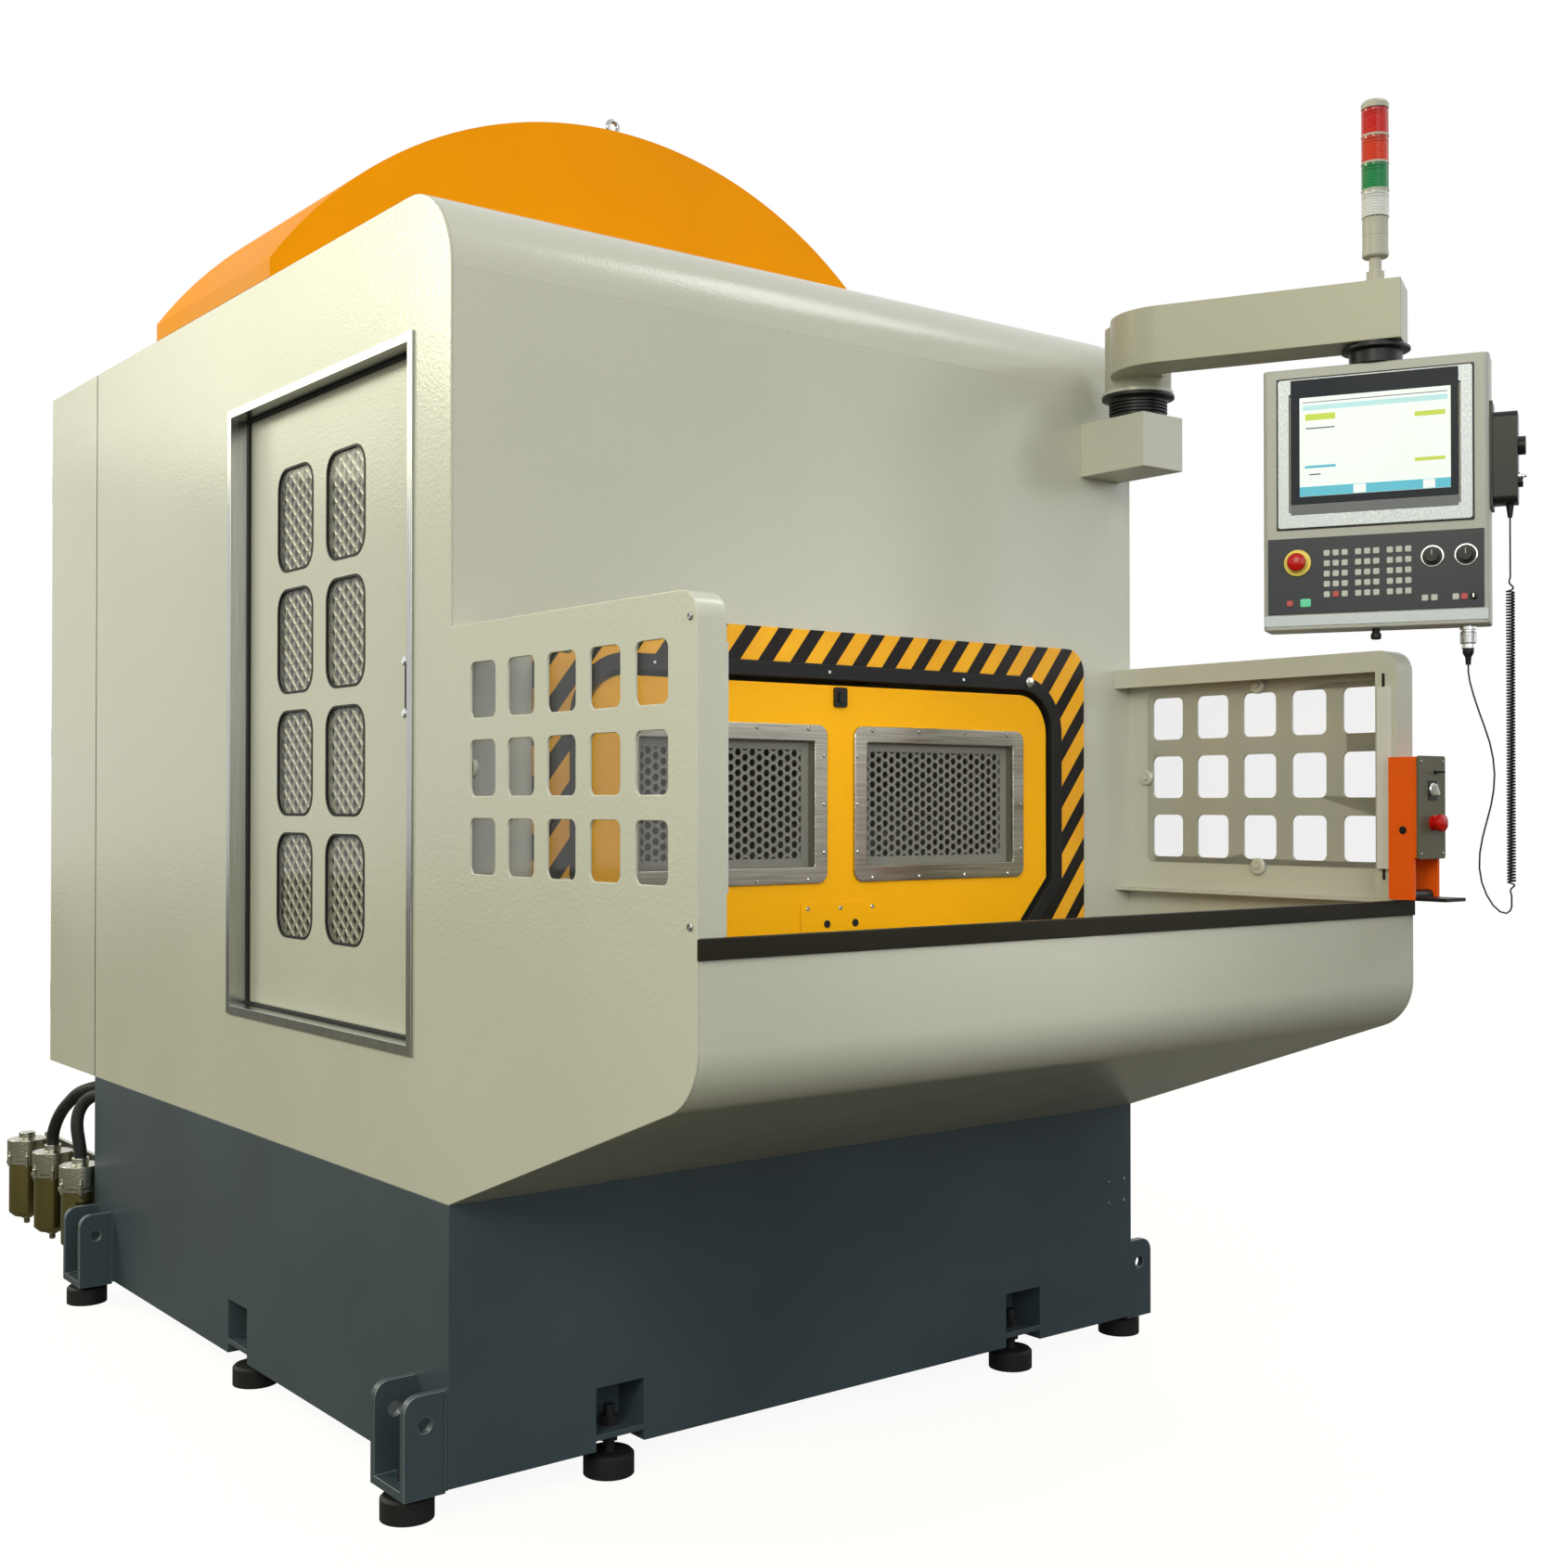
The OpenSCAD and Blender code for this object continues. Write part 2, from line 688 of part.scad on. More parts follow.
module roof_hood() color("#f09b00") difference() {
    backwards(hood_front, hood_d) hood_outline(0);
    backwards(hood_front + hood_sheet, hood_d - 2 * hood_sheet) hood_outline(hood_sheet);
    block([hood_sheet - half_w, hood_front + hood_sheet, cabin_top - 1],
        [half_w - hood_sheet, hood_front + hood_d - hood_sheet, cabin_top + 1]);
}

module hood_eyebolts() color("#8a8578")
    for (y = [hood_front + eyebolt_inset, hood_front + hood_d - eyebolt_inset])
    translate([0, y, hood_base + hood_rise]) {
        cylinder(d = eyebolt_r * 1.6, h = 8);
        cylinder(d = eyebolt_t, h = eyebolt_t + 2);
        translate([0, 0, eyebolt_t + eyebolt_r]) rotate([90, 0, 0])
            rotate_extrude() translate([eyebolt_r - eyebolt_t / 2, 0]) circle(d = eyebolt_t);
    }

module door_frame() color("#b9bbb2") {
    across(-half_w - sheet, sheet) translate([-door_y, door_z]) difference() {
        square([door_w + 2 * door_trim, door_h + 2 * door_trim], center = true);
        square([door_w - 2 * sheet, door_h - 2 * sheet], center = true);
    }
    across(-half_w, door_recess - door_gap) translate([-door_y, door_z]) difference() {
        square([door_w, door_h], center = true);
        square([door_w - 2 * sheet, door_h - 2 * sheet], center = true);
    }
}

// Grooved runners under and over the door, along its whole travel
module door_rails() color("#8d8f8b") {
    groove_x = door_x - door_gap / 2;
    rail_y = [-door_y - door_l / 2 - rail_end, back_y];
    difference() {
        block([sheet - half_w, rail_y[0], door_low - fit - rail_t + rail_groove],
            [door_x + door_t + rail_back, rail_y[1], door_low - fit + rail_groove]);
        block([groove_x, rail_y[0] - 1, door_low - fit],
            [groove_x + door_t + door_gap, rail_y[1] + 1, door_low + rail_groove + 1]);
    }
    difference() {
        block([sheet - half_w, rail_y[0], door_high + fit - rail_groove],
            [door_x + door_t + rail_back, rail_y[1], door_high + fit + rail_t - rail_groove]);
        block([groove_x, rail_y[0] - 1, door_high - rail_groove - 1],
            [groove_x + door_t + door_gap, rail_y[1] + 1, door_high + fit]);
    }
}

module opening_frame() color("#f5a51e") backwards(front_y - frame_t, frame_t) difference() {
    polygon(concat(
        [[opening_half, table_z]],
        arc([opening_half - opening_r, opening_top - opening_r], opening_r, 0, 90),
        arc([opening_r - opening_half, opening_top - opening_r], opening_r, 90, 180),
        [[-opening_half, table_z]]));
    polygon(portal_pts(part_gap + seal_w, table_z - 1));
}

module opening_seal() color("#161616")
    backwards(front_y - frame_t - seal_stand, frame_t + sheet + 2.5 * seal_stand) difference() {
        polygon(portal_pts(part_gap + seal_w, table_z));
        polygon(portal_pts(part_gap, table_z - 1));
    }

module basin_shell() color("#c4c6bc") across(sheet - half_w, base_w - 2 * sheet) polygon(concat(
    [[front_y, deck]], arc(nose_c, nose_r, 270 - bay_slope, 180),
    [[bay_y, rim_z - trim_t], [bay_y + sheet, rim_z - trim_t]],
    arc(nose_c, nose_r - sheet, 180, 270 - bay_slope), [[front_y, deck + sheet / cos(bay_slope)]]));

module basin_trim() color("#2d2a20") {
    across(-half_w, base_w) translate([bay_y - trim_t, rim_z - trim_h]) square([trim_t, trim_h]);
    across(wing_t - half_w, base_w - 2 * wing_t) translate([bay_y - trim_t, rim_z - trim_t])
        square([sheet + 2 * trim_t, trim_t]);
}

module wing_windows() color("#dfe6e6") for (x = [sheet - half_w, half_w - sheet - pane_t])
    across(x, pane_t) translate([front_y - wing_first_y - (wing_cols - 1) * wing_pitch_y / 2,
                                 wing_top - wing_first_z - (wing_rows - 1) * wing_pitch_z / 2])
        rounded((wing_cols - 1) * wing_pitch_y + wing_win_w + 2 * pane_margin,
            (wing_rows - 1) * wing_pitch_z + wing_win_h + 2 * pane_margin, 20);

module light_curtains() color("#d8d9d4") for (s = [0, 1]) mirror([s, 0, 0])
    translate([half_w - wing_t - curtain_t, bay_y + (lip_front - curtain_w) / 2, curtain_z[0]])
        cube([curtain_t, curtain_w, curtain_z[1] - curtain_z[0]]);

module start_box() color("#f05a0f") {
    block([start_x, start_front, start_z], [start_x + start_w, bay_y, start_z + start_h]);
    block([start_x, hinge_y - cheek_d, rim_z + 4], [start_x + cheek_t, bay_y, start_z]);
    block([start_x + start_w - cheek_t, hinge_y - cheek_d, rim_z + 4], [start_x + start_w, bay_y, start_z]);
    translate([start_x + cheek_t, hinge_y, hinge_z]) rotate([0, 90, 0])
        cylinder(d = hinge_d, h = start_w - 2 * cheek_t);
}

module start_box_cover() color("#7d7c70") difference() {
    backwards(start_front - cover_t, cover_t) translate([start_x + start_w / 2, start_z + start_h / 2])
        rounded(start_w + 4, start_h + 4, 6);
    for (p = [start_stop_p, selector_p]) translate([p.x, start_front + 1, p.y])
        rotate([90, 0, 0]) cylinder(d = stem_d + 2 * fit, h = cover_t + 2);
}

module arm_bracket() color("#c2c4bb")
    translate([pivot_p.x - mount_w / 2, front_y - mount_d, mount_z]) cube([mount_w, mount_d, mount_h]);

module arm_pivot() color("#141414") translate([pivot_p.x, pivot_p.y, mount_top]) {
    cylinder(r = pivot_r - 1.5 * pivot_rim, h = pivot_h);
    translate([0, 0, pivot_h - pivot_rim]) cylinder(r = pivot_r, h = pivot_rim);
}

module filter_heads() color("#9b9a92") {
    for (i = [0:filters - 1]) translate([filter_x, filter_first + i * filter_pitch, bowl_z + bowl_h]) {
        cylinder(d = head_d, h = head_h);
        block([0, -26, 8], [head_lug, 26, head_h - 6]);
        translate([0, 0, head_h]) cylinder(d = hose_d + 12, h = port_h);
    }
    block([filter_x + head_lug - 2, back_y, bowl_z + bowl_h], [filter_x + head_lug + 10,
        filter_first + (filters - 1) * filter_pitch + 40, bowl_z + bowl_h + head_h + 8]);
}

module filter_bowls() color("#b8b6ad") for (i = [0:filters - 1])
    translate([filter_x, filter_first + i * filter_pitch, bowl_z]) {
        translate([0, 0, 14]) cylinder(d = bowl_d, h = bowl_h - 14);
        cylinder(d1 = bowl_d - 30, d2 = bowl_d, h = 14);
        translate([0, 0, -22]) cylinder(d = 18, h = 24);
    }

module filter_hoses() color("#151515") for (p = hose_routes) swept_rod(p, hose_d, [1, 0, 0], 12);

module table_drive() color("#5b6066") {
    translate([0, table_y, deck + drive_foot.y]) cylinder(d = drive_d, h = hub_z - deck - drive_foot.y);
    block([-drive_d / 2, table_y, deck + drive_foot.y], [drive_d / 2, table_y + drive_l, hub_z - 60]);
    block([-drive_foot.x, front_y + 8, deck], [drive_foot.x, table_y + drive_l + 20, deck + drive_foot.y]);
}

module table_disc() color("#8f9294") translate([0, table_y, hub_z]) {
    cylinder(d = hub_d, h = hub_h);
    translate([0, 0, hub_h]) cylinder(r = table_r, h = table_t, $fn = 180);
}

module partition_panel() color("#f5aa05") backwards(table_y - part_t / 2, part_t) difference() {
    polygon(portal_pts(0, table_z));
    for (x = [-bezel_x, bezel_x]) translate([x, bezel_z]) rounded(guard_w + 2 * fit, guard_h + 2 * fit, 14);
}

module window_bezels() color("#4a4c4c") for (x = [-bezel_x, bezel_x], s = [0, 1])
    translate([x, table_y, bezel_z]) mirror([0, s, 0]) {
        backwards(-part_t / 2 - bezel_t, bezel_t) rounded_ring(bezel_w, bezel_h, 25, bezel_rim);
        backwards(-part_t / 2, part_t / 2 - guard_t / 2) rounded_ring(guard_w, guard_h, 14, bezel_lip);
    }

// Perforated plate between the bezels: rows of six-sided holes, every second one shifted
module window_guards() color("#55585a") for (x = [-bezel_x, bezel_x])
    translate([x, table_y, bezel_z]) backwards(-guard_t / 2, guard_t) difference() {
        rounded(guard_w, guard_h, 14);
        pitch_x = bezel_in_w / (guard_cols + 0.5);
        pitch_z = bezel_in_h / (guard_rows + 1);
        for (j = [0:guard_rows - 1], i = [0:guard_cols - 1])
            translate([(i - (guard_cols - 1) / 2 + (j % 2) / 2 - 0.25) * pitch_x,
                       (j - (guard_rows - 1) / 2) * pitch_z])
                circle(d = guard_hole, $fn = 6);
    }

module access_plate() color("#f2a60a") for (s = [0, 1]) translate([0, table_y, 0]) mirror([0, s, 0])
    backwards(-part_t / 2 - access_t, access_t) translate([0, table_z + access_rise + access_h / 2])
        rounded(access_w, access_h, 6);

// Middles of the door's windows, as (y, z)
door_win_p = [for (i = [-1, 1], j = [0:door_rows - 1])
    [door_col_y + i * door_pitch_y / 2, door_row_low + j * door_pitch_z]];

// Outline of the field behind the door's windows
module door_field(more) translate([door_col_y, door_row_low + 1.5 * door_pitch_z])
    square([door_pitch_y + door_win_w + 40 + 2 * more, 3 * door_pitch_z + door_win_h + 40 + 2 * more], center = true);

module door_panel() color("#c4c6bc") difference() {
    across(door_x, door_t) difference() {
        translate([-door_y, door_z]) square([door_l, door_tall], center = true);
        for (p = door_win_p) translate(p) rounded(door_win_w, door_win_h, door_win_r);
    }
    across(door_x + door_skin, door_t) door_field(fit);
}

// Mesh plate in the door's pocket, with diamond openings behind each window
module door_guards() color("#83857e") across(door_x + door_skin, guard_t) difference() {
    door_field(0);
    step = [door_win_w / (door_diamonds.x + 0.5), door_win_h / (door_diamonds.y + 0.5)];
    for (p = door_win_p, i = [0:door_diamonds.x - 1], j = [0:door_diamonds.y - 1])
        translate(p + [(i - (door_diamonds.x - 1) / 2) * step.x, (j - (door_diamonds.y - 1) / 2) * step.y])
            circle(d = 30, $fn = 4);
}

module door_glass() color("#cfd8d6") across(door_x + door_skin / 3, door_skin / 2)
    for (p = door_win_p) translate(p) rounded(door_win_w - 2 * fit, door_win_h - 2 * fit, door_win_r - fit);

module door_handle() color("#3a3a38") {
    translate([door_x - handle_reach, -door_y - door_w / 2 + 40, door_z + 14]) {
        translate([0, 0, -handle_l / 2]) cylinder(r = handle_bar_r, h = handle_l);
        for (z = [-1, 1]) translate([0, 0, z * (handle_l / 2 - 12)]) rotate([0, 90, 0])
            cylinder(r = handle_bar_r - 1, h = handle_reach);
    }
}

module swing_arm() color("#c6c8be") {
    tail_p = joint_p + arm_tail * unit(joint_p - bend_p);
    along = unit(joint_p - bend_p);
    out = [along.y, -along.x];
    bend_c = joint_p - arm_run * along - (arm_bend_r - arm_w / 2) * out;
    from = 360 + atan2(out.y, out.x);
    to = atan2(pivot_p.y - bend_c.y, pivot_p.x - bend_c.x);
    translate([0, 0, arm_bottom]) linear_extrude(arm_h) {
        translate(pivot_p) circle(arm_boss_r);
        polygon(concat([tail_p - arm_w / 2 * out, tail_p + arm_w / 2 * out],
            arc(bend_c, arm_bend_r, from, to, 20), arc(bend_c, arm_bend_r - arm_w, to, from, 8)));
    }
    translate([pivot_p.x, pivot_p.y, mount_top + pivot_h])
        cylinder(r = arm_boss_r, h = arm_boss_h + 1);
}

module stack_body() color("#d9d8d0") translate([joint_p.x, joint_p.y, arm_top]) {
    cylinder(d = stack_d + 4, h = 12);
    translate([0, 0, stack_foot_h]) cylinder(d = stack_d - 4, h = stack_cup_h);
    cylinder(d = stack_foot_d, h = stack_low - arm_top + lenses * lens_h);
    translate([0, 0, stack_low - arm_top + lenses * lens_h]) cylinder(d = stack_d, h = stack_cap_h);
}

module stack_lenses() color("#d23a2a") for (i = [0:lenses - 1])
    translate([joint_p.x, joint_p.y, stack_low + i * lens_h]) difference() {
        cylinder(d = stack_d, h = lens_h);
        translate([0, 0, -1]) cylinder(d = stack_foot_d + 2 * fit, h = lens_h + 2);
    }

module panel_hub() color("#141414") translate([joint_p.x, joint_p.y, panel_top]) {
    cylinder(r = panel_hub_r, h = panel_hub_h);
    translate([0, 0, panel_hub_h - panel_hub_rim[1]]) cylinder(r = panel_hub_rim[0], h = panel_hub_rim[1]);
}

module panel_housing() color("#b8b9b0") on_panel() translate([0, 0, panel_z])
    linear_extrude(panel_h) rounded(panel_w, panel_d, 12);

module face_plate() backwards(face_y - face_t, face_t) children();

module screen_bezel() color("#c9cbc8") on_panel() face_plate() translate([0, screen_z]) difference() {
    rounded(screen_w, screen_h, 6);
    square([display_w, display_h], center = true);
}

module display_glass() color("#dfe9ee") on_panel() backwards(face_y - face_t / 2, face_t / 2)
    translate([0, screen_z]) square([display_w, display_h], center = true);

module key_panel() color("#30343c") on_panel() difference() {
    face_plate() translate([0, keys_mid]) square([panel_w - 24, keys_h - 4], center = true);
    translate([stop_u, face_y - face_t - 1, stop_z]) rotate([-90, 0, 0])
        cylinder(d = stem_d + 2 * fit, h = face_t + 1);
    for (u = knob_u) translate([u, face_y - face_t - 1, stop_z]) rotate([-90, 0, 0])
        cylinder(d = knob_shaft + 2 * fit, h = face_t + 1);
}

// Three blocks of keys and the rows of extra keys beside and under them
module panel_keys() color("#d8dad6") on_panel() {
    for (b = [0:2], i = [0:2], j = [0:key_rows - 1])
        key_cap(key_first.x + b * key_block + i * key_pitch, stop_z + key_first.y - j * key_row_pitch);
    for (u = key_low_row) key_cap(u, keys_low + 26);
}

module key_cap(u, z) translate([u - key_size / 2, face_y - face_t - key_t, z - key_size / 2])
    cube([key_size, key_t, key_size]);

// Hand control in its holder on the panel's right side, with the cord's boot under it
module pendant() color("#17181a") on_panel() {
    translate([panel_w / 2, -holder_w / 2, pendant_z - 10]) cube([holder_t, holder_w, pendant_h + 34]);
    translate([panel_w / 2 + holder_t, 0, pendant_z]) {
        translate([0, 0, pendant_h / 2]) rotate([90, 0, 90]) linear_extrude(pendant_t)
            rounded(pendant_w, pendant_h, 16);
        translate([pendant_t, 0, pendant_h - 76]) rotate([0, 90, 0]) cylinder(d = 42, h = 16);
        translate([pendant_t, 0, 50]) rotate([0, 90, 0]) cylinder(d = 24, h = 10);
    }
    translate([pendant_u, 0, pendant_z - boot_h]) cylinder(d1 = 10, d2 = 18, h = boot_h + 1);
}

module pendant_plug() color("#c8c8c6") on_panel() translate([plug_u, 0, panel_z - plug_h]) {
    cylinder(d1 = 11, d2 = plug_d - 6, h = 26);
    translate([0, 0, 26]) cylinder(d = plug_d - 4, h = 24);
    translate([0, 0, 50]) cylinder(d = plug_d, h = plug_h - 50);
}

module cord_lead() color("#121212") on_panel() {
    swept_rod(cord_upper, cord_d, [0, 1, 0], 8);
    swept_rod(cord_lower, cord_d, [0, 1, 0], 8);
}

module cord_coil() color("#121212") on_panel() translate([pendant_u, 0, coil_low])
    cylinder(d = coil_d, h = coil_high - coil_low);

// Mushroom button whose face points along -y, with the plate's face at y = 0
module mushroom(d, travel) rotate([90, 0, 0]) {
    translate([0, 0, -1.5]) cylinder(d = stem_d, h = travel + 11.5);
    translate([0, 0, travel + 8]) cylinder(d1 = stem_d + 8, d2 = d, h = 8);
    translate([0, 0, travel + 16]) cylinder(d = d, h = 8);
}

module panel_estop() color("#c81818") on_panel() translate([stop_u, face_y - face_t, stop_z])
    mushroom(stop_d, stop_travel);

module override_knob(u) color("#1b1c20") on_panel()
    translate([u, face_y - face_t, stop_z]) rotate([90, 0, 0]) {
        translate([0, 0, -face_t]) cylinder(d = knob_shaft, h = face_t + 8);
        translate([0, 0, 2]) cylinder(d = knob_d, h = 16);
        translate([-3, -knob_d / 2 + 4, 18]) cube([6, knob_d - 8, 6]);
    }

module override_knob_left() override_knob(knob_u[0]);
module override_knob_right() override_knob(knob_u[1]);

module start_estop() color("#c81818") translate([start_stop_p.x, start_front - cover_t, start_stop_p.y])
    mushroom(start_stop_d, stop_travel);

module start_selector() color("#2a2a2a")
    translate([selector_p.x, start_front - cover_t, selector_p.y]) rotate([90, 0, 0]) {
        translate([0, 0, -cover_t]) cylinder(d = stem_d, h = cover_t + 1);
        translate([0, 0, 0.5]) cylinder(d = stem_d + 7, h = 8);
        translate([-4, -12, 8]) cube([8, 24, 9]);
    }

// Start paddle that hangs on the start box's hinge pin and reaches forward
module start_paddle() color("#161616")
    translate([start_x + (start_w - paddle_w) / 2, hinge_y, hinge_z]) difference() {
        union() {
            rotate([0, 90, 0]) cylinder(d = hinge_d + 12, h = paddle_w);
            block([0, -paddle_l, -hinge_d / 2 - 6], [paddle_w, 0, paddle_t - hinge_d / 2 - 6]);
        }
        translate([-1, 0, 0]) rotate([0, 90, 0]) cylinder(d = hinge_d + 2 * fit, h = paddle_w + 2);
    }

module robot_pedestal() color("#4a4f55") translate([0, robot_y, deck]) {
    block([-foot_half.x, -foot_half.y, 0], [foot_half.x, foot_half.y, foot_plate]);
    block([-post_half, -post_half, foot_plate], [post_half, post_half, robot_foot_h - foot_plate]);
    translate([0, 0, robot_foot_h - foot_plate]) cylinder(d = turret_d[0] + 20, h = foot_plate);
}

// Link in the (y, z) plane between two joint places, with round ends
module link(a, b, ra, rb, x, t) across(x, t) {
    translate(a) circle(ra);
    translate(b) circle(rb);
    translate(a) rotate(atan2(b.y - a.y, b.x - a.x)) translate([0, -rb]) square([norm(b - a), 2 * rb]);
}

// Pin of a joint along x, within the width of its link
module joint_pin(p, d, x, t) across(x, t) translate(p) circle(d = d);

module robot_turret() color("#d98a1a") {
    translate([0, robot_y, turret_z]) {
        cylinder(d = turret_d[0], h = turret_h[0]);
        translate([0, 0, turret_h[0]]) cylinder(d1 = turret_d[0], d2 = turret_d[1], h = turret_h[1]);
    }
    inner_x = link_w / 2 + side_gap;
    for (x = [-inner_x - cheek_w[0], inner_x]) across(x, cheek_w[0]) difference() {
        union() {
            translate(shoulder_p) circle(shoulder_r);
            translate([shoulder_p.x - shoulder_r, turret_z + turret_h[0] - 30])
                square([2 * shoulder_r, shoulder_p.y - turret_z - turret_h[0] + 30]);
        }
        translate(shoulder_p) circle(d = pin_d + 2 * fit);
    }
}

module robot_lower_arm() color("#d98a1a") difference() {
    union() {
        link(shoulder_p, elbow_p, link_ends[0], link_ends[1], -link_w / 2, link_w);
        joint_pin(shoulder_p, pin_d, -link_w / 2 - cheek_w[0] + 10, link_w + 2 * cheek_w[0] - 20);
    }
    across(-link_w / 2 - 1, link_w + 2) translate(elbow_p) circle(d = pin_d + 2 * fit);
}

module robot_forearm() color("#d98a1a") {
    block_y = [elbow_p.x - forearm_y[1], elbow_p.x - forearm_y[0]];
    for (x = [-link_w / 2 - side_gap - cheek_w[1], link_w / 2 + side_gap]) across(x, cheek_w[1]) {
        translate(elbow_p) circle(elbow_r);
        translate([block_y[1] - 35, elbow_p.y + forearm_z[0]])
            square([elbow_p.x - block_y[1] + 35, forearm_z[1] - forearm_z[0]]);
    }
    joint_pin(elbow_p, pin_d, -link_w / 2 - 2, link_w + 4);
    block([-link_w / 2 - cheek_w[1], block_y[0], elbow_p.y + forearm_z[0]],
        [link_w / 2 + cheek_w[1], block_y[1], elbow_p.y + forearm_z[1]]);
    for (x = [-fork_gap / 2 - cheek_w[2], fork_gap / 2]) across(x, cheek_w[2]) difference() {
        union() {
            translate(wrist_p) circle(wrist_r);
            translate([wrist_p.x, wrist_p.y - wrist_r]) square([block_y[0] + 10 - wrist_p.x, 2 * wrist_r]);
        }
        translate(wrist_p) circle(d = wrist_pin_d + 2 * fit);
    }
}

module robot_wrist() color("#d98a1a") {
    across(side_gap - fork_gap / 2, fork_gap - 2 * side_gap) translate(wrist_p) circle(wrist_r - 2);
    joint_pin(wrist_p, wrist_pin_d, 2 - fork_gap / 2 - cheek_w[2], fork_gap + 2 * cheek_w[2] - 4);
    translate([0, wrist_p.x, wrist_p.y - motor_drop - spindle_l]) difference() {
        cylinder(d = spindle_d, h = spindle_l + wrist_r);
        translate([0, 0, -1]) cylinder(d = shaft_d + 2 * fit, h = shaft_l + 2);
    }
}

module spindle() color("#a9abac") translate([0, wrist_p.x, wrist_p.y - motor_drop - spindle_l]) {
    translate([0, 0, -1]) cylinder(d = shaft_d, h = shaft_l + 1);
    translate([0, 0, -24]) cylinder(d1 = shaft_d - 6, d2 = shaft_d + 8, h = 24 - side_gap);
    translate([0, 0, -64]) cylinder(d = 8, h = 42);
    translate([0, 0, -80]) cylinder(d = 16, h = 24);
}

placed() base_frame();
placed() lifting_brackets();
placed() levelling_feet();
placed() left_side_panel();
placed() right_side_panel();
placed() front_panel();
placed() roof_panel();
placed() rear_cabinet();
placed() roof_hood();
placed() hood_eyebolts();
placed() door_frame();
placed() door_rails();
placed() opening_frame();
placed() opening_seal();
placed() basin_shell();
placed() basin_trim();
placed() wing_windows();
placed() light_curtains();
placed() start_box();
placed() start_box_cover();
placed() arm_bracket();
placed() arm_pivot();
placed() filter_heads();
placed() filter_bowls();
placed() filter_hoses();
placed() table_drive();
placed() robot_pedestal();
placed() table_disc();
placed() partition_panel();
placed() window_bezels();
placed() window_guards();
placed() access_plate();
placed() door_panel();
placed() door_guards();
placed() door_glass();
placed() door_handle();
placed() swing_arm();
placed() stack_body();
placed() stack_lenses();
placed() panel_hub();
placed() panel_housing();
placed() screen_bezel();
placed() display_glass();
placed() key_panel();
placed() panel_keys();
placed() pendant();
placed() pendant_plug();
placed() cord_lead();
placed() cord_coil();
placed() panel_estop();
placed() override_knob_left();
placed() override_knob_right();
placed() start_estop();
placed() start_selector();
placed() start_paddle();
placed() robot_turret();
placed() robot_lower_arm();
placed() robot_forearm();
placed() robot_wrist();
placed() spindle();
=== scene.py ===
import json
import math

import bmesh
import bpy
from mathutils import Matrix, Vector


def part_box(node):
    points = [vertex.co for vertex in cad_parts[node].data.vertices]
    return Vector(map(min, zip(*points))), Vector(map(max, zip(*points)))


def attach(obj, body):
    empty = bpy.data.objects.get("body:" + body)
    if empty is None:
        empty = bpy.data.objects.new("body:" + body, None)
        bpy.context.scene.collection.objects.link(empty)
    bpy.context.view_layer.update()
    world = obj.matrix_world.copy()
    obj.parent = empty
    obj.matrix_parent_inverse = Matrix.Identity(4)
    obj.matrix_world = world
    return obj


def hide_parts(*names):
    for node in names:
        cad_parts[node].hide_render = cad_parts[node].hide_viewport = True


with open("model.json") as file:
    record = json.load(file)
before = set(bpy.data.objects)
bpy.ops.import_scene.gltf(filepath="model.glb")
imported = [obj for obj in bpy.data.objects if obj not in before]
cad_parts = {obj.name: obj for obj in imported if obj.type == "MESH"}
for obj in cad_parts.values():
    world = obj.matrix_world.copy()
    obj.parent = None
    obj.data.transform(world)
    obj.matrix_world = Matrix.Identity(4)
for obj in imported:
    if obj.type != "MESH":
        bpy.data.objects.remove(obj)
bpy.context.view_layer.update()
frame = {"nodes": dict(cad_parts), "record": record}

bl_info = {
    "name": "Robotic deburring machine",
    "version": (1, 0, 0),
    "blender": (4, 5, 0),
    "location": "3D View > Sidebar > Deburring",
    "description": "Finishes and small parts of a robotic deburring machine on its solid model",
    "category": "Object",
}

# Machine places are in millimetres from the middle of the base on the floor
ORIGIN_X = 48.0
ORIGIN_Y = -188.0
MM = 0.001
HALF_W = 995.0
FRONT_Y = -1085.0
CABIN_BACK_Y = 1085.0
BACK_Y = 1515.0
DOOR_FACE_X = -950.0
WINDOW_X = (-316.0, 316.0)
WINDOW_Z = 1410.0
BEZEL_Y = -1093.0
ACCESS_PLATE_Y = -1089.0
SEAL_Y = -1097.0
START_BOX_Y = -2003.0
FILTER_X = -1015.0
FILTER_Y = (1150.0, 1415.0, 1680.0)

# On the operator panel, u runs along its width from its middle
PANEL_X = 1016.0
PANEL_Y = -1818.0
PANEL_TURN = math.radians(-62.3)
PANEL_BOTTOM_Z = 1817.0
PENDANT_U = 290.0
PLUG_U = 200.0
KNOB_ROW_Z = 1973.0
LOW_KEY_Z = 1879.0

# Camera in metres, with the view of the picture
CAMERA_PLACE = (-2.747, -4.145, 1.410)
CAMERA_TURN = (math.radians(90.625), 0.0, math.radians(-38.0))
CAMERA_LENS = 42.16
CAMERA_SENSOR = 36.0

# Points closer than this, in metres, are joined
MERGE_REACH = 0.00002

# Finishes, shader groups and node trees that the operators share
MADE = {}


def srgb(red, green, blue):
    """Linear colour of a red, green and blue given from 0 to 255."""
    values = []
    for level in (red, green, blue):
        share = level / 255.0
        values.append(share / 12.92 if share <= 0.04045 else ((share + 0.055) / 1.055) ** 2.4)
    return tuple(values)


def at(x, y, z):
    """Place in the part's frame, in metres, of a machine place in millimetres."""
    return Vector(((x - ORIGIN_X) * MM, (y - ORIGIN_Y) * MM, z * MM))


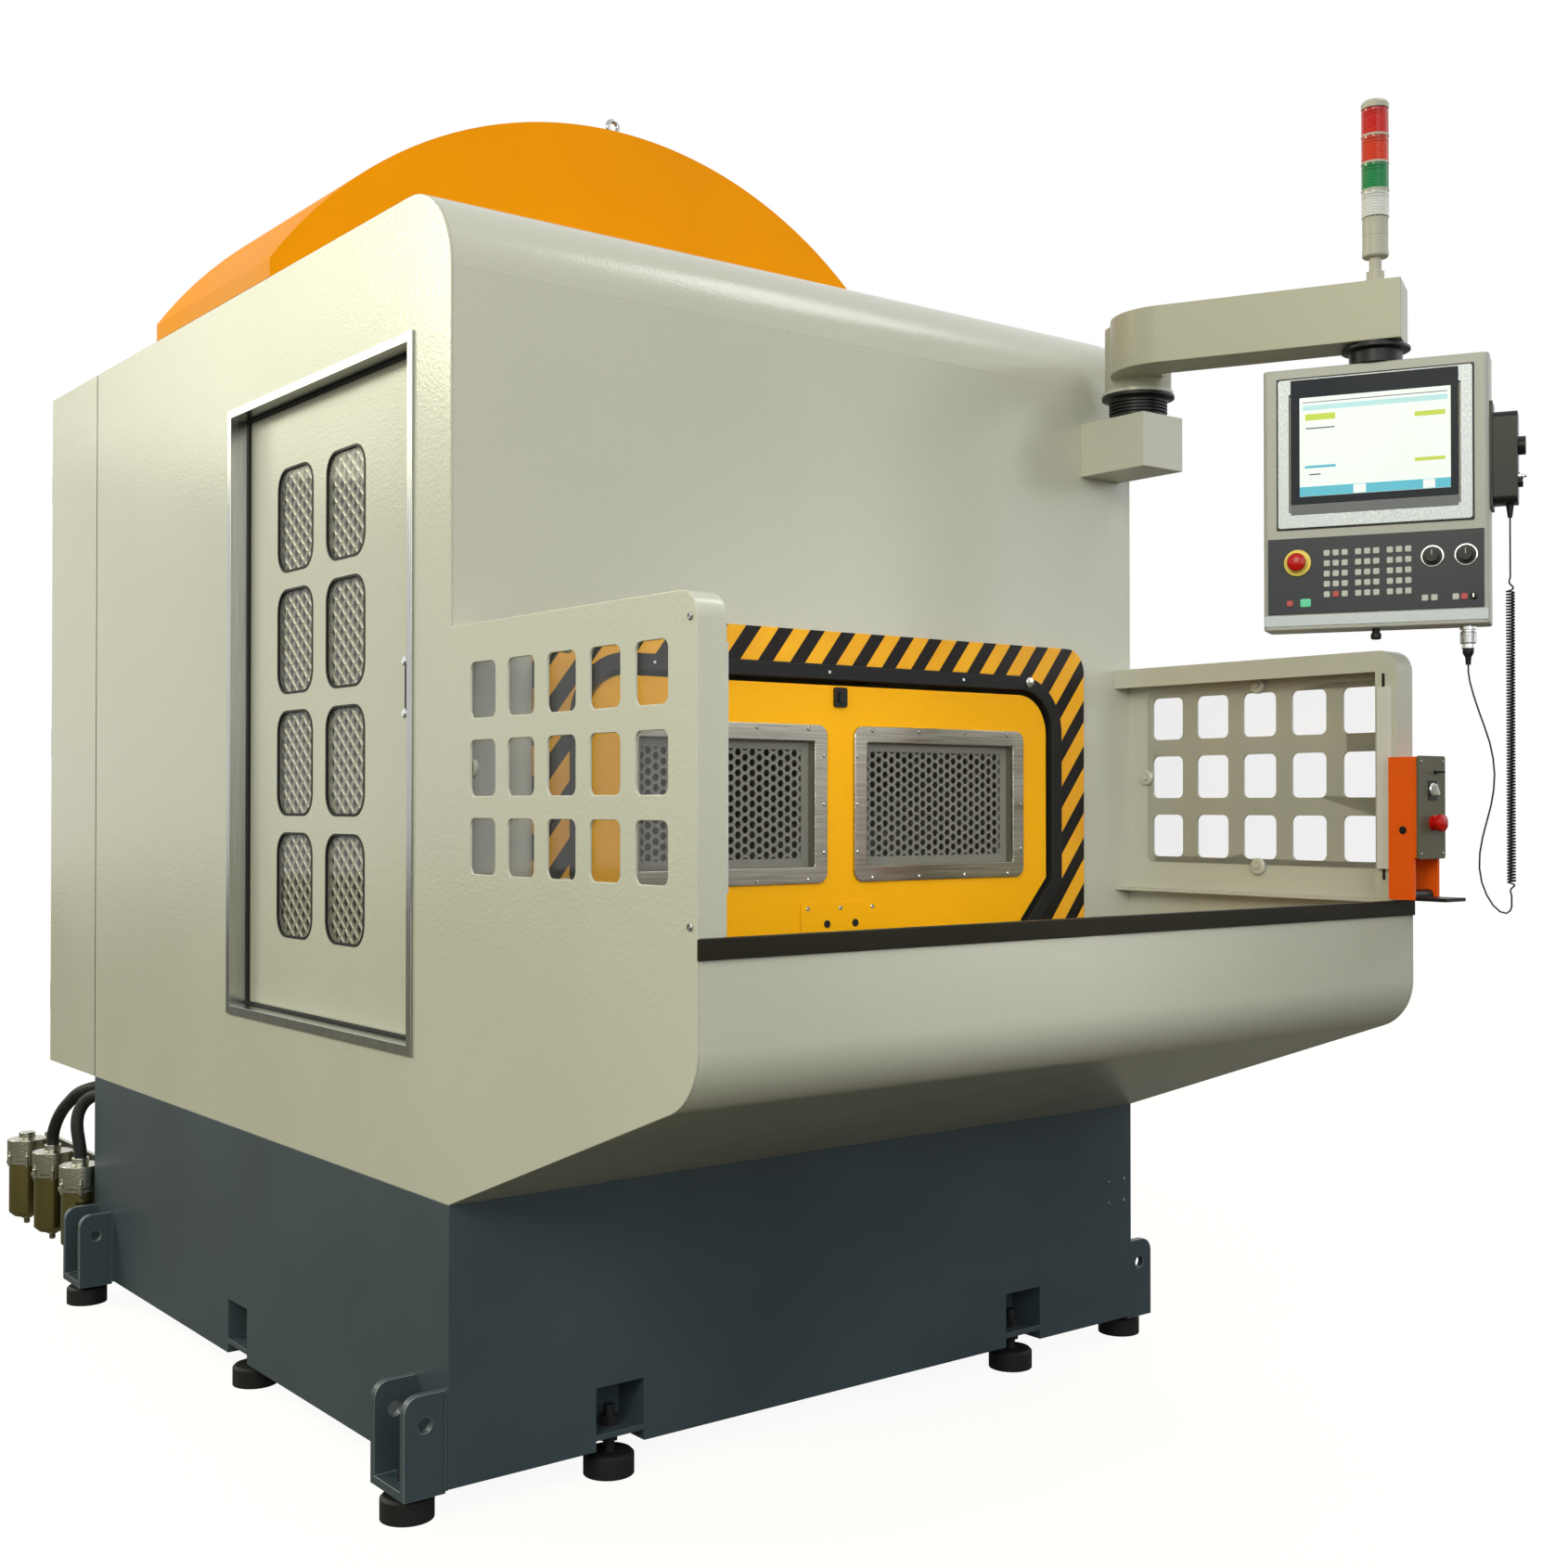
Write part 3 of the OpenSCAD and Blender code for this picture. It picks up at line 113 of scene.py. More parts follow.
AXES = {
    "front": ((1, 0, 0), (0, 0, 1), (0, -1, 0)),
    "back": ((-1, 0, 0), (0, 0, 1), (0, 1, 0)),
    "left": ((0, -1, 0), (0, 0, 1), (-1, 0, 0)),
    "right": ((0, 1, 0), (0, 0, 1), (1, 0, 0)),
    "up": ((1, 0, 0), (0, 1, 0), (0, 0, 1)),
    "down": ((1, 0, 0), (0, -1, 0), (0, 0, -1)),
}


def facing(side, x, y, z):
    """Frame in millimetres on a face of the machine: u and v lie along the face, w points out of it."""
    axes = Matrix(AXES[side]).transposed().to_4x4()
    return Matrix.Translation(at(x, y, z)) @ axes @ Matrix.Scale(MM, 4)


def on_panel(side, u, depth, z):
    """Frame in millimetres on the operator panel: u along its width, depth behind its middle."""
    axes = Matrix(AXES[side]).transposed().to_4x4()
    axes.translation = Vector((u * MM, depth * MM, z * MM))
    placed = Matrix.Translation(at(PANEL_X, PANEL_Y, 0.0)) @ Matrix.Rotation(PANEL_TURN, 4, "Z")
    return placed @ axes @ Matrix.Scale(MM, 4)


def centred(place):
    """A frame moved to the origin, for a shape that is repeated on points."""
    place.translation = (0.0, 0.0, 0.0)
    return place


def panel_point(u, depth, z):
    """Place in metres of a point given along, behind and above the operator panel."""
    return on_panel("up", u, depth, z).translation


def face_depth(node):
    """Depth of a node's front face behind the operator panel's middle, in millimetres."""
    middle = panel_point(0.0, 0.0, 0.0)
    out = Matrix.Rotation(PANEL_TURN, 3, "Z") @ Vector((0.0, -1.0, 0.0))
    reach = max((vertex.co - middle).dot(out) for vertex in frame["nodes"][node].data.vertices)
    return -reach / MM


def rounded_outline(width, height, radius, steps=6):
    """Outline of a rectangle with rounded corners about its middle."""
    points = []
    corners = ((1, 1, 0), (-1, 1, 90), (-1, -1, 180), (1, -1, 270))
    for side_u, side_v, start in corners:
        centre_u = side_u * (width / 2 - radius)
        centre_v = side_v * (height / 2 - radius)
        for step in range(steps + 1):
            turn = math.radians(start + 90.0 * step / steps)
            points.append((centre_u + radius * math.cos(turn), centre_v + radius * math.sin(turn)))
    return points


def circle_outline(radius, sides=24):
    """Outline of a circle about the origin."""
    return [(radius * math.cos(2 * math.pi * step / sides), radius * math.sin(2 * math.pi * step / sides))
            for step in range(sides)]


def ring_of(bm, place, points, w):
    """Vertices of an outline at one height of a frame."""
    return [bm.verts.new(place @ Vector((u, v, w))) for u, v in points]


def bridge(bm, low, high, slot=0):
    """Band of faces between two rings of as many vertices."""
    count = len(low)
    for index in range(count):
        after = (index + 1) % count
        face = bm.faces.new((low[index], low[after], high[after], high[index]))
        face.material_index = slot


def wrap(bm, rings, slot=0):
    """Bands over rings in their order and back to the first ring."""
    for low, high in zip(rings, rings[1:] + rings[:1]):
        bridge(bm, low, high, slot)


def cap(bm, ring, slot):
    """Face that closes a ring."""
    face = bm.faces.new(ring)
    face.material_index = slot


def loft(bm, rings, slot=0):
    """Solid over rings in their order, closed at both ends."""
    for low, high in zip(rings, rings[1:]):
        bridge(bm, low, high, slot)
    cap(bm, list(reversed(rings[0])), slot)
    cap(bm, rings[-1], slot)


def prism(bm, place, points, low, high, slot):
    """Solid plate of an outline between two heights of a frame."""
    loft(bm, [ring_of(bm, place, points, w) for w in (low, high)], slot)


def plate(bm, place, width, height, low, high, radius, slot=0):
    """Solid plate with rounded corners between two heights of a frame."""
    prism(bm, place, rounded_outline(width, height, radius, 4), low, high, slot)


def hoop(bm, place, outer, inner, low, high, slot=0):
    """Frame-shaped plate between two outlines of as many points."""
    corners = ((outer, low), (outer, high), (inner, high), (inner, low))
    wrap(bm, [ring_of(bm, place, points, w) for points, w in corners], slot)


def turned(bm, place, profile, sides, slot=0):
    """Turned solid about w from pairs of radius and height, closed at both ends."""
    loft(bm, [ring_of(bm, place, circle_outline(radius, sides), w) for radius, w in profile], slot)


def tube(bm, path, radius, sides):
    """Round bar along points in metres."""
    normal = None
    rings = []
    for index, point in enumerate(path):
        ahead = (path[min(index + 1, len(path) - 1)] - path[max(index - 1, 0)]).normalized()
        if normal is None:
            normal = ahead.orthogonal().normalized()
        normal = (normal - ahead * normal.dot(ahead)).normalized()
        side = ahead.cross(normal)
        rings.append([bm.verts.new(point + radius * (normal * u + side * v))
                      for u, v in circle_outline(1.0, sides)])
    loft(bm, rings)


def smooth_route(points, steps=6):
    """Smooth line through the given points in metres."""
    padded = [points[0], *points, points[-1]]
    line = []
    for before, start, end, after in zip(padded, padded[1:], padded[2:], padded[3:]):
        for step in range(steps):
            share = step / steps
            line.append(0.5 * (2.0 * start + (end - before) * share
                               + (2.0 * before - 5.0 * start + 4.0 * end - after) * share ** 2
                               + (3.0 * start - before - 3.0 * end + after) * share ** 3))
    line.append(points[-1])
    return line


def baked_mesh(obj):
    """Plain mesh of an object with its modifiers applied."""
    graph = bpy.context.evaluated_depsgraph_get()
    graph.update()
    return bpy.data.meshes.new_from_object(obj.evaluated_get(graph))


def shade(mesh, angle):
    """Smooth faces, with sharp edges where they meet at more than an angle."""
    mesh.polygons.foreach_set("use_smooth", [True] * len(mesh.polygons))
    mesh.set_sharp_from_angle(angle=math.radians(angle))


def piece_from(name, mesh, finishes, body, replaces=(), bevel=0.0, angle=35.0, wear_and_glint=False):
    """Object of a mesh with bevelled edges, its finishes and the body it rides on."""
    for finish in finishes:
        mesh.materials.append(finish)
    obj = bpy.data.objects.new(name, mesh)
    bpy.context.scene.collection.objects.link(obj)
    if bevel > 0.0:
        mesh.polygons.foreach_set("use_smooth", [True] * len(mesh.polygons))
        edge = obj.modifiers.new("edges", "BEVEL")
        edge.width = bevel * MM
        edge.segments = 2
        edge.limit_method = "ANGLE"
        edge.angle_limit = math.radians(30.0)
        if wear_and_glint:
            edge.material = 1
        obj.modifiers.new("flat_faces", "WEIGHTED_NORMAL").keep_sharp = False
        applied = baked_mesh(obj)
        obj.modifiers.clear()
        obj.data = applied
        bpy.data.meshes.remove(mesh)
    else:
        shade(mesh, angle)
    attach(obj, body)
    if replaces:
        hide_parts(*replaces)
    return obj


def piece(name, bm, finishes, body, replaces=(), bevel=0.0, angle=35.0):
    """Piece made in mesh code."""
    bmesh.ops.recalc_face_normals(bm, faces=bm.faces)
    mesh = bpy.data.meshes.new(name)
    bm.to_mesh(mesh)
    bm.free()
    return piece_from(name, mesh, finishes, body, replaces, bevel, angle)


def body_of(node):
    """Name of the body that holds a solid."""
    for body, nodes in frame["record"]["behaviour"]["bodies"].items():
        if node in nodes:
            return body
    raise ValueError("no body holds " + node)


def dress(node, finishes, bevel, wear_and_glint=False):
    """Copy of a solid with its triangles joined and its edges rounded, which stands for the solid."""
    bm = bmesh.new()
    bm.from_mesh(frame["nodes"][node].data)
    bmesh.ops.remove_doubles(bm, verts=bm.verts, dist=MERGE_REACH)
    bmesh.ops.dissolve_limit(bm, angle_limit=math.radians(0.4), verts=bm.verts, edges=bm.edges)
    mesh = bpy.data.meshes.new("dressed_" + node)
    bm.to_mesh(mesh)
    bm.free()
    piece_from("dressed_" + node, mesh, finishes, body_of(node), (node,), bevel, wear_and_glint=wear_and_glint)


def paint(node, finish):
    """Finish on a solid that stays as it is."""
    mesh = frame["nodes"][node].data
    mesh.materials.clear()
    mesh.materials.append(finish)


# Shader groups and finishes


def socket(group, name, way, kind, default=None):
    """Named input or output of a node group."""
    made = group.interface.new_socket(name, in_out=way, socket_type=kind)
    if default is not None:
        made.default_value = default


def maths(tree, operation, first, second):
    """Result of one operation on two numbers or sockets."""
    node = tree.nodes.new("ShaderNodeMath")
    node.operation = operation
    for index, value in enumerate((first, second)):
        if isinstance(value, (int, float)):
            node.inputs[index].default_value = value
        else:
            tree.links.new(value, node.inputs[index])
    return node.outputs[0]


def grain_group():
    """Sprayed or cast grain, broad blotches and fine flecks from a place on the piece."""
    group = bpy.data.node_groups.new("surface_grain", "ShaderNodeTree")
    socket(group, "Place", "INPUT", "NodeSocketVector")
    socket(group, "Cells", "INPUT", "NodeSocketFloat", 120.0)
    socket(group, "Blotches", "INPUT", "NodeSocketFloat", 2.0)
    socket(group, "Height", "OUTPUT", "NodeSocketFloat")
    socket(group, "Blotch", "OUTPUT", "NodeSocketFloat")
    socket(group, "Fleck", "OUTPUT", "NodeSocketFloat")
    entry = group.nodes.new("NodeGroupInput")
    result = group.nodes.new("NodeGroupOutput")
    cells = group.nodes.new("ShaderNodeTexVoronoi")
    cells.feature = "SMOOTH_F1"
    cells.inputs["Smoothness"].default_value = 0.6
    fine = group.nodes.new("ShaderNodeTexNoise")
    fine.inputs["Detail"].default_value = 2.0
    broad = group.nodes.new("ShaderNodeTexNoise")
    broad.inputs["Detail"].default_value = 3.0
    for node in (cells, fine, broad):
        group.links.new(entry.outputs["Place"], node.inputs["Vector"])
    group.links.new(entry.outputs["Cells"], cells.inputs["Scale"])
    group.links.new(entry.outputs["Cells"], fine.inputs["Scale"])
    group.links.new(entry.outputs["Blotches"], broad.inputs["Scale"])
    height = maths(group, "ADD", cells.outputs["Distance"], fine.outputs["Fac"])
    group.links.new(height, result.inputs["Height"])
    group.links.new(broad.outputs["Fac"], result.inputs["Blotch"])
    fleck = maths(group, "GREATER_THAN", fine.outputs["Fac"], 0.68)
    group.links.new(fleck, result.inputs["Fleck"])
    return group


def brush_group():
    """Fine lines of brushed or rolled metal along one axis."""
    group = bpy.data.node_groups.new("brushed_lines", "ShaderNodeTree")
    socket(group, "Place", "INPUT", "NodeSocketVector")
    socket(group, "Stretch", "INPUT", "NodeSocketVector", (300.0, 300.0, 6.0))
    socket(group, "Line", "OUTPUT", "NodeSocketFloat")
    entry = group.nodes.new("NodeGroupInput")
    result = group.nodes.new("NodeGroupOutput")
    scaled = group.nodes.new("ShaderNodeVectorMath")
    scaled.operation = "MULTIPLY"
    lines = group.nodes.new("ShaderNodeTexNoise")
    lines.inputs["Scale"].default_value = 1.0
    lines.inputs["Detail"].default_value = 4.0
    group.links.new(entry.outputs["Place"], scaled.inputs[0])
    group.links.new(entry.outputs["Stretch"], scaled.inputs[1])
    group.links.new(scaled.outputs["Vector"], lines.inputs["Vector"])
    group.links.new(lines.outputs["Fac"], result.inputs["Line"])
    return group


def blank(name):
    """Empty material with its shader and the piece's own coordinates."""
    material = bpy.data.materials.new(name)
    material.use_nodes = True
    tree = material.node_tree
    shader = tree.nodes["Principled BSDF"]
    place = tree.nodes.new("ShaderNodeTexCoord").outputs["Object"]
    return material, tree, shader, place


def add_group(tree, name, place, **values):
    """Outputs of a shared group that is placed in a material with its own values."""
    node = tree.nodes.new("ShaderNodeGroup")
    node.node_tree = MADE[name]
    tree.links.new(place, node.inputs["Place"])
    for title, value in values.items():
        node.inputs[title].default_value = value
    return node.outputs


def ramp(tree, value, low, high, from_low=0.3, from_high=0.7):
    """Value moved from one range to another."""
    node = tree.nodes.new("ShaderNodeMapRange")
    node.inputs["From Min"].default_value = from_low
    node.inputs["From Max"].default_value = from_high
    node.inputs["To Min"].default_value = low
    node.inputs["To Max"].default_value = high
    tree.links.new(value, node.inputs["Value"])
    return node.outputs["Result"]


def mixed(tree, factor, first, second):
    """Colour between two colours by a factor."""
    node = tree.nodes.new("ShaderNodeMix")
    node.data_type = "RGBA"
    tree.links.new(factor, node.inputs["Factor"])
    for name, colour in (("A", first), ("B", second)):
        target = [one for one in node.inputs if one.name == name and one.type == "RGBA"][0]
        if isinstance(colour, tuple):
            target.default_value = (*colour, 1.0)
        else:
            tree.links.new(colour, target)
    return [one for one in node.outputs if one.type == "RGBA"][0]


def varied(tree, value, low, high):
    """Colour that changes between two tones with a noise value."""
    return mixed(tree, ramp(tree, value, 0.0, 1.0), low, high)


def bumped(tree, shader, height, strength, distance):
    """Relief of a height on a shader."""
    node = tree.nodes.new("ShaderNodeBump")
    node.inputs["Strength"].default_value = strength
    node.inputs["Distance"].default_value = distance
    tree.links.new(height, node.inputs["Height"])
    tree.links.new(node.outputs["Normal"], shader.inputs["Normal"])


def tone(colour, share):
    """Lighter or darker tone of a colour."""
    return tuple(min(1.0, level * share) for level in colour)


def grained(name, colour, rough, cells, depth, vary, metallic=0.0, coat=0.0, shine=0.3, reach=0.0006):
    """Painted, moulded or cast finish with grain, soft blotches and flecks."""
    material, tree, shader, place = blank(name)
    grain = add_group(tree, "grain", place, Cells=cells, Blotches=2.0)
    base = varied(tree, grain["Blotch"], tone(colour, 1.0 - vary), tone(colour, 1.0 + vary))
    fleck = ramp(tree, grain["Fleck"], 0.0, 0.35, 0.0, 1.0)
    tree.links.new(mixed(tree, fleck, base, tone(colour, 1.0 + 3.0 * vary)), shader.inputs["Base Color"])
    tree.links.new(ramp(tree, grain["Blotch"], rough * 0.85, rough * 1.15), shader.inputs["Roughness"])
    shader.inputs["Metallic"].default_value = metallic
    shader.inputs["Specular IOR Level"].default_value = shine
    shader.inputs["Coat Weight"].default_value = coat
    shader.inputs["Coat Roughness"].default_value = 0.25
    bumped(tree, shader, grain["Height"], depth, reach)
    return material


def brushed(name, colour, rough, stretch, vary=0.12):
    """Bare metal with lines along the axis of the least stretch."""
    material, tree, shader, place = blank(name)
    line = add_group(tree, "brush", place, Stretch=stretch)["Line"]
    tree.links.new(varied(tree, line, tone(colour, 1.0 - vary), tone(colour, 1.0 + vary)),
                   shader.inputs["Base Color"])
    tree.links.new(ramp(tree, line, rough * 0.8, rough * 1.25), shader.inputs["Roughness"])
    shader.inputs["Metallic"].default_value = 1.0
    bumped(tree, shader, line, 0.08, 0.0004)
    return material


def clear_finish(name, colour, rough, weight):
    """Clear or tinted plastic with faint wipe marks."""
    material, tree, shader, place = blank(name)
    grain = add_group(tree, "grain", place, Cells=40.0, Blotches=6.0)
    tree.links.new(varied(tree, grain["Blotch"], tone(colour, 0.94), colour), shader.inputs["Base Color"])
    tree.links.new(ramp(tree, grain["Blotch"], rough, rough + 0.08), shader.inputs["Roughness"])
    shader.inputs["Transmission Weight"].default_value = weight
    shader.inputs["IOR"].default_value = 1.45
    return material


def sheet_finish(name, colour, low, high):
    """Thin clear sheet that lets light through and reflects more at a slant."""
    material, tree, shader, place = blank(name)
    grain = add_group(tree, "grain", place, Cells=30.0, Blotches=5.0)
    tree.links.new(varied(tree, grain["Blotch"], tone(colour, 0.92), colour), shader.inputs["Base Color"])
    tree.links.new(ramp(tree, grain["Blotch"], 0.02, 0.07), shader.inputs["Roughness"])
    shader.inputs["IOR"].default_value = 2.4
    slant = tree.nodes.new("ShaderNodeLayerWeight")
    slant.inputs["Blend"].default_value = 0.35
    tree.links.new(ramp(tree, slant.outputs["Facing"], low, high, 0.1, 0.9), shader.inputs["Alpha"])
    return material


def striped(name, yellow, black, pitch):
    """Yellow and black warning stripes that lean to the right, on a sprayed strip."""
    slope = 0.78
    dark_share = 0.47
    turns_ahead = 40.0
    material, tree, shader, place = blank(name)
    grain = add_group(tree, "grain", place, Cells=110.0, Blotches=5.0)
    split = tree.nodes.new("ShaderNodeSeparateXYZ")
    tree.links.new(place, split.inputs[0])
    lean = maths(tree, "MULTIPLY", split.outputs["Z"], slope)
    along = maths(tree, "SUBTRACT", split.outputs["X"], lean)
    turn = maths(tree, "DIVIDE", along, pitch)
    share = maths(tree, "FRACT", maths(tree, "ADD", turn, turns_ahead), 0.0)
    mask = maths(tree, "LESS_THAN", share, dark_share)
    lit = varied(tree, grain["Blotch"], tone(yellow, 0.86), tone(yellow, 1.1))
    tree.links.new(mixed(tree, mask, lit, black), shader.inputs["Base Color"])
    tree.links.new(ramp(tree, grain["Blotch"], 0.3, 0.5), shader.inputs["Roughness"])
    shader.inputs["Specular IOR Level"].default_value = 0.2
    bumped(tree, shader, grain["Height"], 0.35, 0.0006)
    return material


def make_finishes(look):
    """All finishes by name."""
    MADE["grain"] = grain_group()
    MADE["brush"] = brush_group()
    cabin = tuple(look.cabin_colour)
    base = tuple(look.base_colour)
    finishes = {
        "cabin": grained("cabin_powder_coat", cabin, 0.22, 140.0, 0.25, 0.02, shine=0.45, reach=0.001),
        "base": grained("base_slate_paint", base, 0.34, 220.0, 0.2, 0.12, shine=0.35),
        # Pale bare-metal finish for bevelled edges: partly worn paint, partly a painted highlight for the
        # glints on the edges
        "wear_and_glint": grained("edge_wear_and_glint", srgb(150, 155, 158), 0.45, 260.0, 0.4, 0.25, metallic=0.4),
        "hood": grained("hood_orange_coat", tuple(look.hood_colour), 0.5, 150.0, 0.25, 0.05, shine=0.05),
        "partition": grained("partition_yellow_coat", tuple(look.partition_colour), 0.38, 140.0, 0.35, 0.04,
                             shine=0.2),
        # The swing arm wears the cabin's powder coat, painted darker and warmer here as painted shade
        "arm": grained("arm_shaded_powder_coat", srgb(182, 181, 162), 0.34, 140.0, 0.25, 0.02),
        "stripes": striped("warning_stripes", tuple(look.stripe_yellow), srgb(26, 23, 21), look.stripe_pitch),
        "rubber": grained("black_rubber", srgb(22, 22, 23), 0.62, 320.0, 0.3, 0.2),
        "trim": grained("dark_rim_trim", srgb(36, 34, 24), 0.36, 200.0, 0.25, 0.15, shine=0.15),
        "black": grained("black_moulding", srgb(24, 25, 27), 0.42, 420.0, 0.25, 0.15),
        "aluminium": brushed("brushed_aluminium", srgb(176, 177, 174), 0.21, (300.0, 300.0, 5.0)),
        "flat_aluminium": brushed("drawn_aluminium", srgb(146, 150, 157), 0.42, (6.0, 300.0, 300.0)),
        "chrome": brushed("bright_chrome", srgb(225, 226, 226), 0.14, (200.0, 200.0, 200.0), 0.04),
        "steel": brushed("zinc_steel", srgb(170, 171, 168), 0.21, (260.0, 260.0, 260.0)),
        "rail": brushed("ground_rail_steel", srgb(150, 152, 154), 0.3, (300.0, 5.0, 300.0)),
        "bezel": brushed("window_bezel_steel", srgb(168, 164, 152), 0.21, (6.0, 280.0, 280.0), 0.25),
        "guard": grained("guard_grey_coat", srgb(122, 121, 113), 0.45, 300.0, 0.2, 0.08),
        "mesh": grained("expanded_mesh_coat", srgb(206, 203, 188), 0.4, 300.0, 0.2, 0.08, metallic=0.25),
        "glass": sheet_finish("clear_window_sheet", srgb(70, 74, 74), 0.06, 0.4),
        "bowl": grained("filter_bowl_bronze", srgb(140, 132, 86), 0.2, 60.0, 0.12, 0.15, metallic=1.0),
        "cast": grained("filter_cast_alloy", srgb(176, 174, 160), 0.22, 220.0, 0.6, 0.2, metallic=1.0),
        "hose": grained("black_hose", srgb(30, 30, 31), 0.55, 380.0, 0.4, 0.2),
        "iron": grained("drive_iron_paint", srgb(66, 68, 70), 0.5, 200.0, 0.4, 0.15),
        "table": brushed("table_steel_top", srgb(140, 140, 136), 0.38, (30.0, 30.0, 200.0), 0.2),
        "robot": grained("robot_yellow_cast", srgb(226, 120, 24), 0.42, 260.0, 0.4, 0.06, coat=0.2),
        "sensor": grained("sensor_white_cap", srgb(222, 224, 218), 0.35, 300.0, 0.15, 0.04),
        "start": grained("start_box_orange", srgb(250, 98, 10), 0.42, 330.0, 0.25, 0.06),
        "cover": grained("start_cover_grey", srgb(98, 95, 78), 0.45, 330.0, 0.25, 0.08),
        "panel": grained("panel_warm_grey", srgb(186, 186, 180), 0.42, 260.0, 0.25, 0.05, coat=0.1),
        "keys_field": grained("key_field_foil", srgb(40, 44, 56), 0.4, 350.0, 0.15, 0.1),
        "key": grained("pale_key", srgb(206, 208, 204), 0.45, 500.0, 0.15, 0.06),
        "key_green": grained("green_key", srgb(112, 226, 184), 0.4, 500.0, 0.15, 0.08),
        "key_red": grained("red_key", srgb(196, 84, 84), 0.4, 500.0, 0.15, 0.08),
        "stop_red": grained("stop_red_plastic", srgb(200, 14, 8), 0.22, 420.0, 0.12, 0.08, coat=0.1),
        "stop_yellow": grained("stop_ring_yellow", srgb(255, 230, 104), 0.4, 420.0, 0.12, 0.06),
        "stack": grained("stack_light_grey", srgb(188, 186, 172), 0.4, 350.0, 0.15, 0.05),
        "lens_red": clear_finish("red_lens", srgb(226, 34, 22), 0.12, 0.45),
        "lens_amber": clear_finish("amber_lens", srgb(234, 64, 16), 0.12, 0.45),
        "lens_green": clear_finish("green_lens", srgb(30, 150, 84), 0.12, 0.45),
        "lens_clear": clear_finish("clear_lens", srgb(238, 240, 236), 0.1, 0.35),
        "band": grained("screen_band_grey", srgb(128, 130, 136), 0.4, 350.0, 0.1, 0.05, shine=0.1),
        "display": grained("display_dark_glass", srgb(28, 34, 48), 0.34, 60.0, 0.02, 0.1, shine=0.1),
        "cord": grained("cord_sheath", srgb(34, 34, 35), 0.5, 600.0, 0.2, 0.15),
    }
    lit_fields = (("lit_white", srgb(226, 232, 232), 0.5), ("lit_green", srgb(200, 216, 96), 0.3),
                  ("lit_cyan", srgb(104, 190, 214), 0.32), ("lit_grey", srgb(110, 122, 130), 0.15),
                  ("lit_pale", srgb(186, 226, 232), 0.35))
    for name, colour, level in lit_fields:
        made = grained("screen_" + name, colour, 0.4, 500.0, 0.02, 0.05, shine=0.05)
        shader = made.node_tree.nodes["Principled BSDF"]
        shader.inputs["Emission Color"].default_value = (*colour, 1.0)
        shader.inputs["Emission Strength"].default_value = level
        finishes[name] = made
    return finishes


# Repeats by geometry nodes


def repeat_tree():
    """Node tree that puts one shape on every point, merges touching rims and gives the finish."""
    tree = bpy.data.node_groups.new("repeat_on_points", "GeometryNodeTree")
    socket(tree, "Points", "INPUT", "NodeSocketGeometry")
    socket(tree, "Shape", "INPUT", "NodeSocketObject")
    socket(tree, "Size", "INPUT", "NodeSocketFloat", 1.0)
    socket(tree, "Merge", "INPUT", "NodeSocketFloat", MERGE_REACH)
    socket(tree, "Finish", "INPUT", "NodeSocketMaterial")
    socket(tree, "Result", "OUTPUT", "NodeSocketGeometry")
    entry = tree.nodes.new("NodeGroupInput")
    result = tree.nodes.new("NodeGroupOutput")
    shape = tree.nodes.new("GeometryNodeObjectInfo")
    placed = tree.nodes.new("GeometryNodeInstanceOnPoints")
    real = tree.nodes.new("GeometryNodeRealizeInstances")
    merged = tree.nodes.new("GeometryNodeMergeByDistance")
    coated = tree.nodes.new("GeometryNodeSetMaterial")
    link = tree.links.new
    link(entry.outputs["Points"], placed.inputs["Points"])
    link(entry.outputs["Shape"], shape.inputs["Object"])
    link(shape.outputs["Geometry"], placed.inputs["Instance"])
    link(entry.outputs["Size"], placed.inputs["Scale"])
    link(placed.outputs["Instances"], real.inputs["Geometry"])
    link(real.outputs["Geometry"], merged.inputs["Geometry"])
    link(entry.outputs["Merge"], merged.inputs["Distance"])
    link(merged.outputs["Geometry"], coated.inputs["Geometry"])
    link(entry.outputs["Finish"], coated.inputs["Material"])
    link(coated.outputs["Geometry"], result.inputs["Result"])
    return tree


def repeat(name, shape_bm, points, finish, body, replaces=(), angle=35.0):
    """One piece of a shape that is repeated at points in metres."""
    if "repeat" not in MADE:
        MADE["repeat"] = repeat_tree()
    tree = MADE["repeat"]
    bmesh.ops.recalc_face_normals(shape_bm, faces=shape_bm.faces)
    shape_mesh = bpy.data.meshes.new(name + "_shape")
    shape_bm.to_mesh(shape_mesh)
    shape_bm.free()
    shape = bpy.data.objects.new(name + "_shape", shape_mesh)
    bpy.context.scene.collection.objects.link(shape)
    seeds = bpy.data.meshes.new(name + "_points")
    seeds.from_pydata([tuple(point) for point in points], [], [])
    obj = bpy.data.objects.new(name, seeds)
    bpy.context.scene.collection.objects.link(obj)
    spread = obj.modifiers.new("repeat", "NODES")
    spread.node_group = tree
    values = {"Shape": shape, "Size": 1.0, "Merge": MERGE_REACH, "Finish": finish}
    for item in tree.interface.items_tree:
        if item.in_out == "INPUT" and item.name in values:
            spread[item.identifier] = values[item.name]
    applied = baked_mesh(obj)
    obj.modifiers.clear()
    bpy.data.objects.remove(obj)
    bpy.data.meshes.remove(seeds)
    bpy.data.objects.remove(shape)
    bpy.data.meshes.remove(shape_mesh)
    applied.materials.clear()
    piece_from(name, applied, [finish], body, replaces, 0.0, angle)


def screws(name, side, diameter, height, spots, finish, body):
    """Button-head screws with sockets on one face of the machine, at places in metres."""
    half = diameter / 2
    profile = ((half, -0.5), (half, height * 0.4), (half * 0.75, height), (half * 0.4, height),
               (half * 0.36, height * 0.4))
    bm = bmesh.new()
    turned(bm, centred(facing(side, 0.0, 0.0, 0.0)), profile, 8)
    repeat(name, bm, spots, finish, body)


# Pieces


